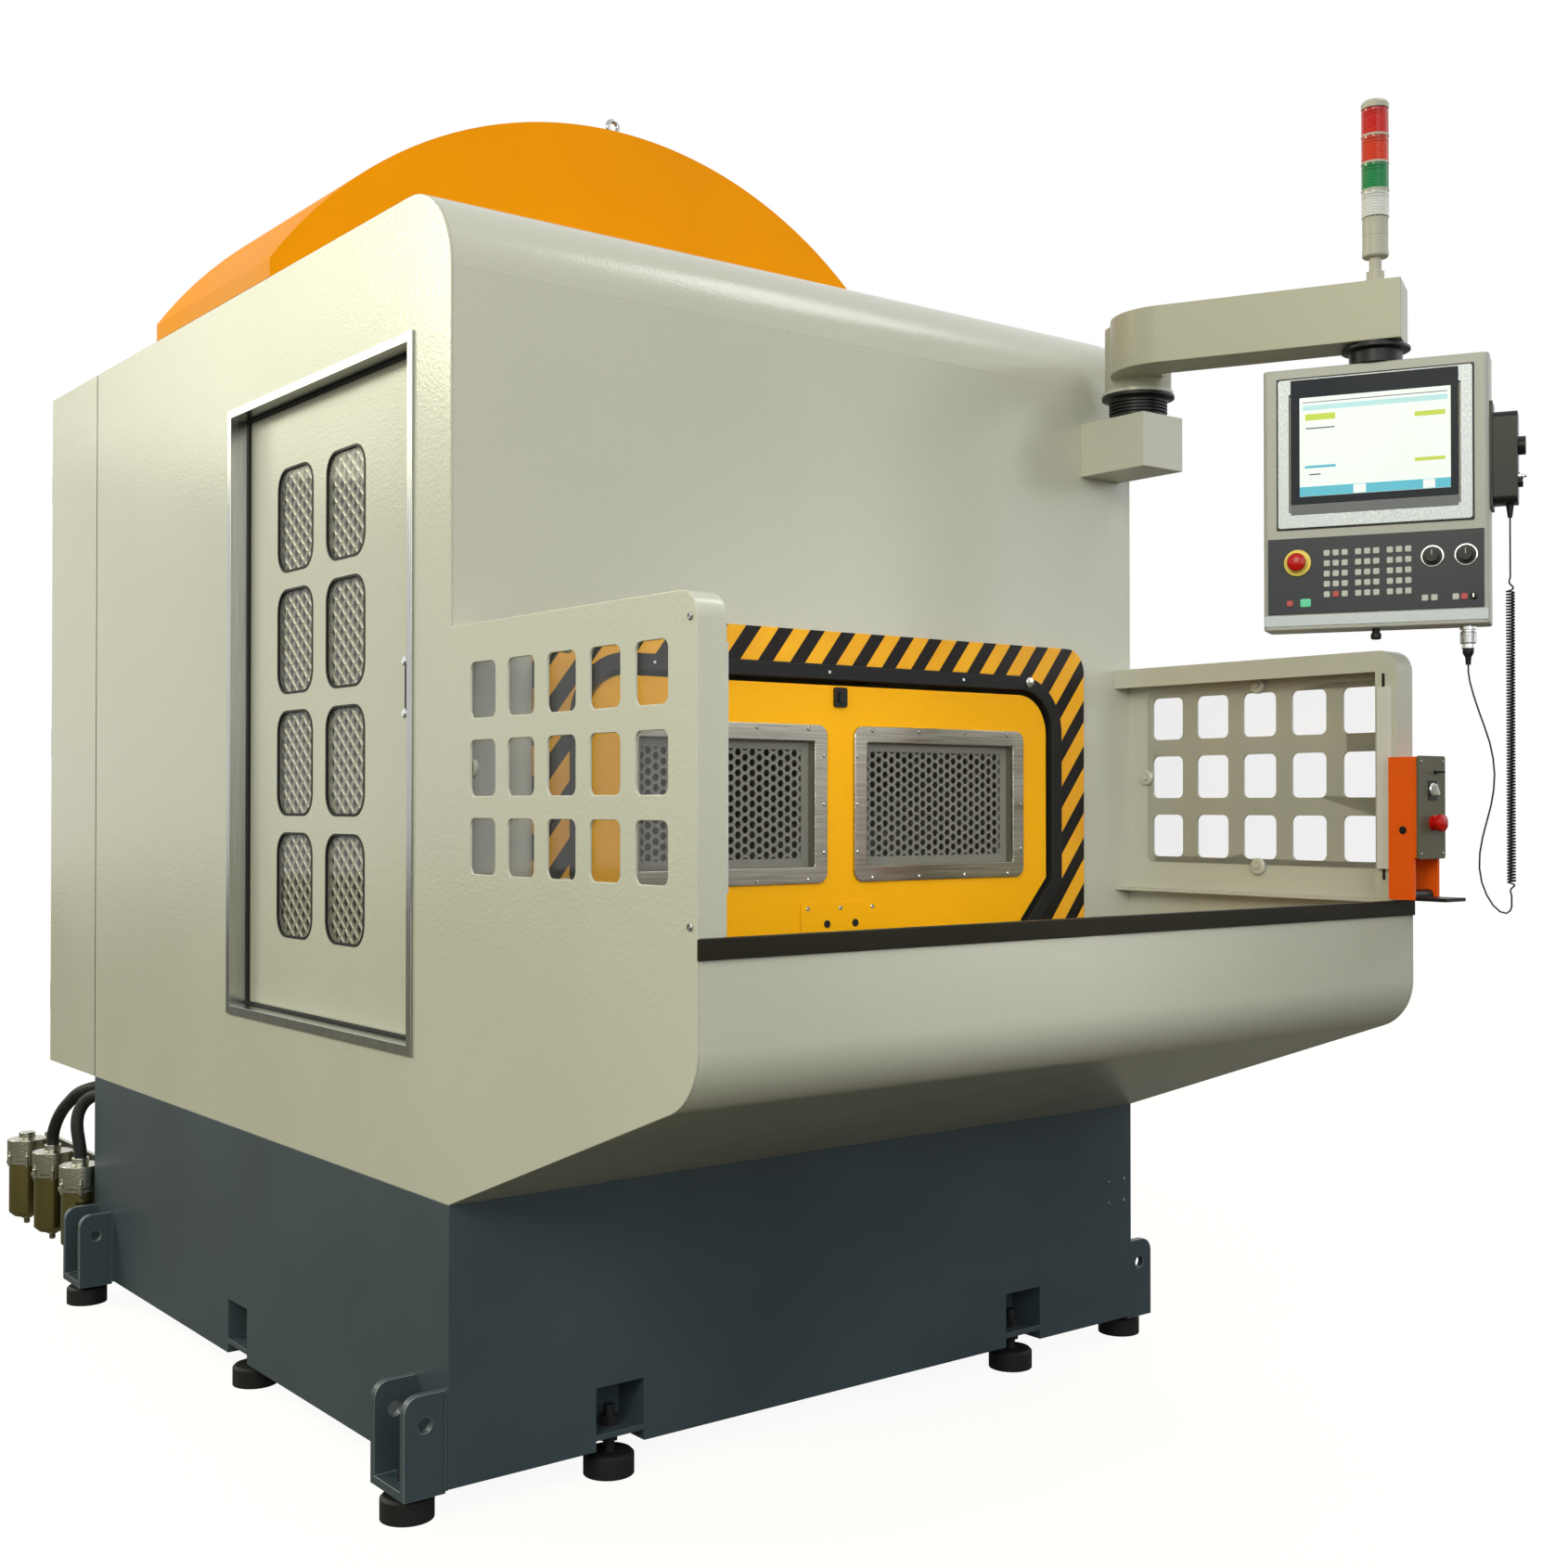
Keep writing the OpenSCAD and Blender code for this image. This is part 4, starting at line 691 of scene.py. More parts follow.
class DEBURR_OT_cord(bpy.types.Operator):
    """Curly cord from the hand pendant down and back up to the plug under the panel"""
    bl_idname = "deburr.cord"
    bl_label = "Curly cord"

    def execute(self, context):
        look = context.scene.deburring_machine
        path = self.route(look)
        curve = bpy.data.curves.new("curly_cord", "CURVE")
        curve.dimensions = "3D"
        curve.bevel_depth = look.cord_diameter / 2
        curve.bevel_resolution = 2
        curve.use_fill_caps = True
        spline = curve.splines.new("POLY")
        spline.points.add(len(path) - 1)
        for point, place in zip(spline.points, path):
            point.co = (*place, 1.0)
        curve.materials.append(MADE["finish"]["cord"])
        cord = bpy.data.objects.new("curly_cord", curve)
        context.scene.collection.objects.link(cord)
        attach(cord, "operator_panel")
        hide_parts("cord_lead", "cord_coil")
        plug = self.plug(MADE["finish"])
        return {"FINISHED"}

    def route(self, look):
        """Points of the cord: the upper lead, the coil and the lower lead up to the plug."""
        upper = (2058, 2043, 2028, 2013, 1998, 1983, 1968, 1955, 1944)
        lower = ((290, 1184), (290, 1178), (287, 1169), (279, 1163), (266, 1166), (251, 1180), (237, 1204),
                 (227, 1232), (222, 1264), (223, 1298), (229, 1334), (238, 1370), (247, 1406), (253, 1442),
                 (255, 1478), (252, 1514), (245, 1550), (234, 1586), (222, 1622), (211, 1658), (203, 1690),
                 (200, 1712), (200, 1727), (200, 1740), (200, 1753))
        coil_top = 1935.0
        coil_bottom = 1192.0
        coil_outside = 10.2
        coil_radius = coil_outside - look.cord_diameter / MM / 2
        turns = look.cord_turns
        per_turn = 16
        lead_turns = 1.5
        end_spacing = 5.0
        path = [panel_point(PENDANT_U, 0.0, z) for z in upper]
        total = turns * per_turn
        radii = []
        drops = [0.0]
        for step in range(total + 1):
            turn = step / per_turn
            edge = min(1.0, turn / lead_turns, (turns - turn) / lead_turns)
            ease = edge * edge * (3.0 - 2.0 * edge)
            radii.append(coil_radius * ease)
            drops.append(drops[-1] + 1.0 + end_spacing * math.sqrt(1.0 - ease))
        for step, radius in enumerate(radii):
            angle = 2.0 * math.pi * step / per_turn
            z = coil_top + (coil_bottom - coil_top) * drops[step] / drops[total]
            path.append(panel_point(PENDANT_U + radius * math.cos(angle), radius * math.sin(angle), z))
        path.extend(panel_point(u, 0.0, z) for u, z in lower)
        return path

    def plug(self, finish):
        """Ribbed plug under the panel with its strain relief."""
        first_ridge = 15.0
        ridge_pitch = 3.6
        shell = ((19, 0), (19, 9), (15.5, 10), (15.5, 13), (17.5, 14), (17.5, 40), (15, 42), (15, 52))
        bm = bmesh.new()
        low = on_panel("down", PLUG_U, 0.0, PANEL_BOTTOM_Z)
        turned(bm, low, shell, 28)
        for ridge in range(7):
            start = first_ridge + ridge_pitch * ridge
            rib = ((17.2, start), (18.6, start + 0.8), (18.6, start + 2.0), (17.2, start + 2.8))
            turned(bm, low, rib, 28)
        turned(bm, low, ((12.5, 50), (12.5, 62), (10.5, 66), (7.0, 72), (5.6, 89.5)), 24, 1)
        return piece("ribbed_plug", bm, [finish["chrome"], finish["black"]], "operator_panel",
                     ("pendant_plug",), 0.5)


class DEBURR_OT_stage(bpy.types.Operator):
    """Camera, pale floor, white background and soft lights"""
    bl_idname = "deburr.stage"
    bl_label = "Stage"

    def execute(self, context):
        scene = context.scene
        scene.view_settings.view_transform = "Standard"
        lens = bpy.data.cameras.new("camera")
        lens.lens = CAMERA_LENS
        lens.sensor_width = CAMERA_SENSOR
        camera = bpy.data.objects.new("camera", lens)
        camera.location = CAMERA_PLACE
        camera.rotation_euler = CAMERA_TURN
        scene.collection.objects.link(camera)
        scene.camera = camera
        self.make_world(scene)
        self.make_floor(scene)
        self.make_lamps(scene)
        return {"FINISHED"}

    def make_world(self, scene):
        """White for the camera, mirrors and glass, and a softer white as light."""
        light_level = 0.43
        world = bpy.data.worlds.new("studio_white")
        world.use_nodes = True
        tree = world.node_tree
        tree.nodes.clear()
        path = tree.nodes.new("ShaderNodeLightPath")
        soft = tree.nodes.new("ShaderNodeBackground")
        soft.inputs["Color"].default_value = (1.0, 1.0, 0.985, 1.0)
        soft.inputs["Strength"].default_value = light_level
        seen = tree.nodes.new("ShaderNodeBackground")
        seen.inputs["Color"].default_value = (1.0, 1.0, 1.0, 1.0)
        seen.inputs["Strength"].default_value = 1.0
        direct = maths(tree, "MAXIMUM", path.outputs["Is Camera Ray"], path.outputs["Is Glossy Ray"])
        shown = maths(tree, "MAXIMUM", direct, path.outputs["Is Transmission Ray"])
        blend = tree.nodes.new("ShaderNodeMixShader")
        result = tree.nodes.new("ShaderNodeOutputWorld")
        tree.links.new(shown, blend.inputs[0])
        tree.links.new(soft.outputs[0], blend.inputs[1])
        tree.links.new(seen.outputs[0], blend.inputs[2])
        tree.links.new(blend.outputs[0], result.inputs["Surface"])
        scene.world = world

    def make_floor(self, scene):
        """Wide floor that looks nearly white and keeps the shadow."""
        reach = 30.0
        seen_level = 0.93
        mirrored_level = 0.08
        corners = ((-1, -1), (1, -1), (1, 1), (-1, 1))
        bm = bmesh.new()
        bm.faces.new([bm.verts.new((u * reach, v * reach, 0.0)) for u, v in corners])
        mesh = bpy.data.meshes.new("pale_floor")
        bm.to_mesh(mesh)
        bm.free()
        material, tree, shader = blank("pale_floor")[:3]
        shader.inputs["Base Color"].default_value = (0.12, 0.112, 0.07, 1.0)
        shader.inputs["Roughness"].default_value = 0.9
        shader.inputs["Specular IOR Level"].default_value = 0.1
        shader.inputs["Emission Color"].default_value = (1.0, 1.0, 1.0, 1.0)
        path = tree.nodes.new("ShaderNodeLightPath")
        seen = maths(tree, "MULTIPLY", path.outputs["Is Camera Ray"], seen_level)
        mirrored = maths(tree, "MULTIPLY", path.outputs["Is Glossy Ray"], mirrored_level)
        tree.links.new(maths(tree, "ADD", seen, mirrored), shader.inputs["Emission Strength"])
        mesh.materials.append(material)
        floor = bpy.data.objects.new("pale_floor", mesh)
        scene.collection.objects.link(floor)

    def make_lamps(self, scene):
        """Soft lamps: place and aim in metres, size, power in watts, spread in degrees and colour."""
        white = (1.0, 1.0, 1.0)
        cool = (0.93, 0.98, 1.0)
        warm = (1.0, 0.99, 0.72)
        lamps = (("front_soft", (-2.5, -7.5, 3.4), (0.2, 0.0, 1.4), 4.0, 105.0, 180.0, cool),
                 ("bay_fill", (-1.4, -4.2, 2.1), (0.1, -0.9, 1.4), 0.6, 1.4, 30.0, white),
                 ("left_key", (-6.0, -4.4, 4.4), (0.4, -1.0, 1.4), 3.0, 200.0, 180.0, warm),
                 ("right_soft", (6.0, -5.0, 4.0), (0.2, -0.6, 1.4), 4.0, 55.0, 180.0, cool),
                 ("back_left_soft", (-5.6, 5.4, 5.0), (-1.0, 0.4, 2.0), 2.0, 240.0, 180.0, warm),
                 ("side_glint", (-3.5, 5.9, 4.1), (-1.0, 0.2, 2.5), 1.6, 21.0, 180.0, warm),
                 ("roof_glint", (2.8, -2.6, 6.4), (0.2, -0.9, 2.2), 1.6, 45.0, 180.0, white))
        for name, place, aim, size, power, spread, colour in lamps:
            light = bpy.data.lights.new(name, "AREA")
            light.size = size
            light.energy = power
            light.spread = math.radians(spread)
            light.color = colour
            lamp = bpy.data.objects.new(name, light)
            lamp.location = place
            lamp.rotation_euler = (Vector(aim) - Vector(place)).to_track_quat("-Z", "Y").to_euler()
            scene.collection.objects.link(lamp)


class DEBURR_OT_base(bpy.types.Operator):
    """Welded base, lifting brackets with pale edges for wear and painted glints, and levelling feet"""
    bl_idname = "deburr.base"
    bl_label = "Base"

    def execute(self, context):
        finish = MADE["finish"]
        dress("base_frame", [finish["base"]], 4.0)
        # The brackets' bevelled edges get the pale finish, partly wear and partly painted glints
        dress("lifting_brackets", [finish["base"], finish["wear_and_glint"]], 2.0, wear_and_glint=True)
        dress("levelling_feet", [finish["rubber"]], 4.0)
        bracket_y = 1000.0
        half_bracket = 75.0
        weld_foot = 64.0
        weld_step = 12.0
        bm = bmesh.new()
        for x in (-HALF_W, HALF_W):
            for middle in (-bracket_y, bracket_y):
                for edge in (-half_bracket, half_bracket):
                    weld = [at(x, middle + edge, weld_foot + weld_step * step) for step in range(17)]
                    tube(bm, weld, 0.0045, 8)
        piece("bracket_welds", bm, [finish["base"]], "frame")
        spots = [at(x, FRONT_Y, z) for x in (907.0, 966.0) for z in (374.0, 430.0)]
        screws("base_screws", "front", 10.0, 3.0, spots, finish["steel"], "frame")
        return {"FINISHED"}


class DEBURR_OT_cabin(bpy.types.Operator):
    """Sheet cabin, rear cabinet with its doors, hood and eyebolts"""
    bl_idname = "deburr.cabin"
    bl_label = "Cabin and hood"

    def execute(self, context):
        finish = MADE["finish"]
        for node in ("left_side_panel", "right_side_panel", "arm_bracket"):
            dress(node, [finish["cabin"]], 1.6)
        for node in ("front_panel", "roof_panel"):
            dress(node, [finish["cabin"]], 0.3)
        dress("rear_cabinet", [finish["cabin"]], 4.0)
        dress("basin_shell", [finish["cabin"]], 3.0)
        dress("roof_hood", [finish["hood"]], 5.0)
        dress("hood_eyebolts", [finish["steel"]], 1.0)
        self.rear_hardware(finish)
        joint = bmesh.new()
        for x, side in ((-HALF_W, "left"), (HALF_W, "right")):
            plate(joint, facing(side, x, CABIN_BACK_Y, 1639.0), 5, 2028, -1.0, 0.4, 1)
        piece("cabinet_joint_seals", joint, [finish["rubber"]], "frame")
        return {"FINISHED"}

    def rear_hardware(self, finish):
        """Levers, hinges and louvres of the rear cabinet's doors."""
        lever_x = 60.0
        hinge_x = HALF_W - 14.0
        bm = bmesh.new()
        for side in (-1, 1):
            plate(bm, facing("back", side * lever_x, BACK_Y, 1500.0), 34, 150, 0, 7, 8)
            plate(bm, facing("back", side * lever_x, BACK_Y, 1478.0), 20, 118, 7, 22, 8)
            for z in (820.0, 1600.0, 2380.0):
                plate(bm, facing("back", side * hinge_x, BACK_Y, z), 24, 90, 0, 9, 4)
        piece("rear_door_hardware", bm, [finish["black"]], "frame", (), 1.5)
        half_slat = 110.0
        lowest = 900.0
        spacing = 22.0
        profile = ((-0.5, -7.0), (9.0, -7.0), (10.0, -5.0), (1.5, 6.0), (-0.5, 6.0))
        slat = bmesh.new()
        shape = centred(facing("back", 0.0, 0.0, 0.0))
        loft(slat, [[slat.verts.new(shape @ Vector((u, v, w))) for w, v in profile]
                    for u in (-half_slat, half_slat)])
        points = [at(x, BACK_Y, lowest + spacing * row) for x in (-500.0, 500.0) for row in range(12)]
        repeat("rear_louvres", slat, points, finish["cabin"], "frame")


class DEBURR_OT_door(bpy.types.Operator):
    """Sliding side door with its trim, window gaskets that also paint the shade of the window edges, expanded
    mesh, glass and handle
    """
    bl_idname = "deburr.door"
    bl_label = "Side door"

    def execute(self, context):
        finish = MADE["finish"]
        dress("door_frame", [finish["aluminium"]], 1.0)
        dress("door_rails", [finish["rail"]], 1.0)
        dress("door_panel", [finish["cabin"]], 2.5)
        paint("door_glass", finish["glass"])
        dress("door_handle", [finish["black"]], 2.0)
        lowest = 1219.0
        spacing = 288.0
        # Black rings round the windows: gaskets, and also painted shade of the windows' inner edges
        bm = bmesh.new()
        for y in (-504.0, -228.0):
            for row in range(4):
                place = facing("left", DOOR_FACE_X, y, lowest + spacing * row)
                hoop(bm, place, rounded_outline(204, 249, 52), rounded_outline(192, 237, 46), -4.0, 1.6)
        piece("door_window_gaskets", bm, [finish["rubber"]], "side_door", (), 0.6)
        self.mesh_sheet(finish, context.scene.deburring_machine)
        # Black ring round the door opening: a seal, and also painted shade of the reveal
        bm = bmesh.new()
        hoop(bm, facing("left", DOOR_FACE_X - 1.0, -431.0, 1637.0), rounded_outline(952.5, 1436.5, 2),
             rounded_outline(938, 1422, 2), 0.0, 7.0)
        piece("door_edge_seal", bm, [finish["rubber"]], "frame", (), 1.0)
        end = ((7.0, 0.0), (10.0, 2.0), (11.5, 7.0), (11.5, 16.0), (10.0, 21.0), (6.0, 24.0))
        bm = bmesh.new()
        for z in (1597.0, 1705.0):
            turned(bm, facing("left", -968.0, -873.5, z), end, 24)
        piece("door_handle_ends", bm, [finish["chrome"]], "side_door")
        return {"FINISHED"}

    def mesh_sheet(self, finish, look):
        """Expanded mesh of diamond cells behind the windows."""
        hole_width = 0.56
        hole_height = 0.72
        half_sheet = 2.2
        spare = 1e-6
        half_y = look.mesh_width / 2 / MM
        half_z = look.mesh_height / 2 / MM
        low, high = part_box("door_guards")
        middle_x = (low[0] + high[0]) / 2
        cell = bmesh.new()
        outer = ((half_y, 0.0), (0.0, half_z), (-half_y, 0.0), (0.0, -half_z))
        inner = tuple((u * hole_width, v * hole_height) for u, v in outer)
        flat = centred(facing("left", 0.0, 0.0, 0.0))
        edges = ((outer, 0.0), (inner, half_sheet), (inner, -half_sheet))
        wrap(cell, [ring_of(cell, flat, points, w) for points, w in edges])
        points = []
        line = 0
        rise = low[2] + half_z * MM
        while rise <= high[2] - half_z * MM + spare:
            along = low[1] + half_y * MM * (1 + line % 2)
            while along <= high[1] - half_y * MM + spare:
                points.append((middle_x, along, rise))
                along += 2.0 * half_y * MM
            line += 1
            rise += half_z * MM
        repeat("door_expanded_mesh", cell, points, finish["mesh"], "side_door",
               ("door_guards",), 20.0)


class DEBURR_OT_opening(bpy.types.Operator):
    """Striped portal, seal and the turning partition with its windows"""
    bl_idname = "deburr.opening"
    bl_label = "Opening and partition"

    def execute(self, context):
        finish = MADE["finish"]
        dress("opening_frame", [finish["stripes"]], 1.2)
        dress("opening_seal", [finish["rubber"]], 3.0)
        dress("partition_panel", [finish["partition"]], 3.0)
        dress("window_bezels", [finish["bezel"]], 3.0)
        dress("access_plate", [finish["partition"]], 1.0)
        self.guards(finish, context.scene.deburring_machine)
        self.fasteners(finish)
        return {"FINISHED"}

    def guards(self, finish, look):
        """Sheets with six-sided holes and plain rims in the partition's windows."""
        hole_share = 0.68
        half_sheet = 1.5
        half_height = 138.0
        guard_y = -1065.0
        pitch = look.guard_pitch / MM
        step_u = pitch * math.sqrt(3.0) / 2
        corner = pitch / math.sqrt(3.0)
        low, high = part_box("window_guards")
        middle_y = (low[1] + high[1]) / 2
        cell = bmesh.new()
        flat = centred(facing("front", 0.0, 0.0, 0.0))
        outer = circle_outline(corner, 6)
        inner = circle_outline(corner * hole_share, 6)
        edges = ((outer, half_sheet), (inner, half_sheet), (inner, -half_sheet), (outer, -half_sheet))
        rings = [ring_of(cell, flat, points, w) for points, w in edges]
        for first, second in zip(rings, rings[1:]):
            bridge(cell, first, second)
        points = []
        border = bmesh.new()
        for x in WINDOW_X:
            for column in range(-11, 12):
                shift = pitch / 2 if column % 2 else 0.0
                for row in range(-6, 6):
                    spot = at(x + column * step_u, FRONT_Y, WINDOW_Z + row * pitch + shift)
                    if abs(row * pitch + shift) < half_height:
                        points.append((spot[0], middle_y, spot[2]))
            place = facing("front", x, guard_y, WINDOW_Z)
            hoop(border, place, rounded_outline(500, 310, 8), rounded_outline(436, 246, 6), -2.0, 2.2)
        repeat("partition_guard_mesh", cell, points, finish["guard"], "table",
               ("window_guards",), 30.0)
        piece("partition_guard_rims", border, [finish["guard"]], "table", (), 0.6)

    def fasteners(self, finish):
        """Screws, plugs and the latch on the partition, and the studs of the seal."""
        bezel_rise = 171.0
        bezel_reach = 266.0
        spots = []
        for x in WINDOW_X:
            for z in (WINDOW_Z - bezel_rise, WINDOW_Z + bezel_rise):
                spots.extend(at(x + shift, BEZEL_Y, z) for shift in (-220.0, -74.0, 74.0, 220.0))
            for shift in (-bezel_reach, bezel_reach):
                spots.extend(at(x + shift, BEZEL_Y, WINDOW_Z + rise) for rise in (-110.0, 0.0, 110.0))
        screws("bezel_screws", "front", 11.0, 3.0, spots, finish["steel"], "table")
        spots = [at(x, ACCESS_PLATE_Y, 1172.0) for x in (-96.0, 0.0, 96.0)]
        spots.extend(at(x, ACCESS_PLATE_Y, 1102.0) for x in (-96.0, 96.0))
        screws("access_plate_screws", "front", 11.0, 3.0, spots, finish["steel"], "table")
        plug = ((9, -1), (9, 2.5), (7, 3.5), (5, 3.5), (4.5, 1.5))
        bm = bmesh.new()
        for x in (-40.0, 44.0):
            turned(bm, facing("front", x, ACCESS_PLATE_Y, 1136.0), plug, 20)
        latch = facing("front", 0.0, FRONT_Y, 1655.0)
        plate(bm, latch, 36, 46, -1, 9, 6)
        plate(bm, latch, 18, 26, 9, 14, 4)
        piece("partition_latch", bm, [finish["black"]], "table", (), 0.8)
        bm = bmesh.new()
        turned(bm, facing("front", 606.0, SEAL_Y, 1714.0), ((13, -1), (13, 4), (10, 7), (4, 8)), 28)
        piece("seal_stud", bm, [finish["chrome"]], "frame")
        spots = [at(x, SEAL_Y, 1711.0) for x in (-520.0, -470.0, -40.0, 380.0)]
        screws("seal_screws", "front", 9.0, 3.0, spots, finish["chrome"], "frame")


class DEBURR_OT_bay(bpy.types.Operator):
    """Rim trim, wing panes with clamps, light curtains and screws"""
    bl_idname = "deburr.bay"
    bl_label = "Loading bay"

    def execute(self, context):
        finish = MADE["finish"]
        dress("basin_trim", [finish["trim"]], 1.5)
        paint("wing_windows", finish["glass"])
        dress("light_curtains", [finish["sensor"]], 1.5)
        pane_x = 984.0
        curtain_x = 935.0
        curtain_y = -1890.0
        screw_y = -1907.0
        clamp = ((20, -3), (20, 5), (17, 8), (9, 8), (9, 6), (7.5, 6), (7.5, 12), (5, 13))
        clamps = bmesh.new()
        slots = bmesh.new()
        for side, name in ((1.0, "left"), (-1.0, "right")):
            for y, z in ((-1505.0, 1700.0), (-1505.0, 1258.0), (-1152.0, 1479.0)):
                turned(clamps, facing(name, side * pane_x, y, z), clamp, 28)
            for z in (1255.0, 1690.0):
                plate(slots, facing(name, side * curtain_x, curtain_y, z), 7, 34, -1, 1.2, 3)
        piece("pane_clamps", clamps, [finish["cabin"]], "frame")
        piece("wing_slots", slots, [finish["black"]], "frame")
        for x, name in ((-HALF_W, "left"), (HALF_W, "right")):
            spots = [at(x, screw_y, z) for z in (1212.0, 1714.0)]
            screws(name + "_wing_screws", name, 15.0, 4.0, spots, finish["steel"], "frame")
        return {"FINISHED"}


class DEBURR_OT_arm(bpy.types.Operator):
    """Swing arm with its pivot and the stack light"""
    bl_idname = "deburr.arm"
    bl_label = "Swing arm and stack light"

    def execute(self, context):
        finish = MADE["finish"]
        # The arm's finish is the cabin coat with painted shade
        dress("swing_arm", [finish["arm"]], 3.0)
        self.pivot(finish)
        self.stack(finish)
        bm = bmesh.new()
        turned(bm, facing("up", PANEL_X, PANEL_Y, 2430.0),
               ((60, 0), (60, 30), (70, 31), (78, 33), (78, 40), (66, 42), (66, 48)), 48)
        piece("panel_hub_rings", bm, [finish["black"]], "operator_panel", ("panel_hub",), 1.0)
        return {"FINISHED"}

    def pivot(self, finish):
        """Pleated bearing of the swing arm on its bracket."""
        first_fin = 9.0
        fin_pitch = 8.5
        profile = [(70, 0), (72, 1), (72, 8)]
        for fin in range(4):
            start = first_fin + fin_pitch * fin
            profile.extend(((66, start), (66, start + 3.0), (73, start + 3.5), (73, start + 7.5)))
        profile.extend(((76, 46), (91, 50), (91, 57), (88, 58)))
        bm = bmesh.new()
        place = facing("up", 880.0, -1215.0, 2387.0)
        turned(bm, place, profile, 56)
        turned(bm, place, ((86, 58), (88, 59), (88, 67), (86, 68)), 56, 1)
        piece("finned_pivot", bm, [finish["black"], finish["cabin"]], "frame", ("arm_pivot",),
              angle=25.0)

    def stack(self, finish):
        """Stack light with its foot, cup, top and four ribbed lenses."""
        sides = 40
        lens_foot = 2774.0
        lens_height = 64.0
        rib_pitch = 6.2
        low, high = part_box("stack_lenses")
        middle_x = ((low[0] + high[0]) / 2) / MM + ORIGIN_X
        middle_y = ((low[1] + high[1]) / 2) / MM + ORIGIN_Y
        place = facing("up", middle_x, middle_y, 0.0)
        bm = bmesh.new()
        turned(bm, place, ((33, 2616), (33, 2624), (29, 2628), (20, 2629), (20, 2650), (14, 2652), (14, 2682),
                           (28, 2684), (30, 2687), (30, 2697), (29, 2698), (29, 2729), (28.4, 2730),
                           (28.4, 2732), (29, 2733), (29, 2770), (30, lens_foot)), sides)
        turned(bm, place, ((31, 3030), (31.5, 3033), (31.5, 3042), (27, 3048), (12, 3050)), sides)
        for ring in range(1, 4):
            z = lens_foot + lens_height * ring
            turned(bm, place, ((31.2, z - 2.5), (31.6, z - 1.5), (31.6, z + 1.5), (31.2, z + 2.5)), sides)
        piece("stack_light_body", bm, [finish["stack"]], "arm", ("stack_body",), angle=25.0)
        lenses = bmesh.new()
        for index in range(4):
            start = lens_foot + lens_height * index
            profile = [(30.6, start + 2.5)]
            for ridge in range(9):
                z = start + 4.0 + rib_pitch * ridge
                profile.extend(((31.0, z), (30.2, z + rib_pitch / 2)))
            profile.append((30.6, start + 61.5))
            turned(lenses, place, profile, sides, index)
        colours = [finish[name] for name in ("lens_clear", "lens_green", "lens_amber", "lens_red")]
        piece("stack_light_lenses", lenses, colours, "arm", ("stack_lenses",), angle=15.0)


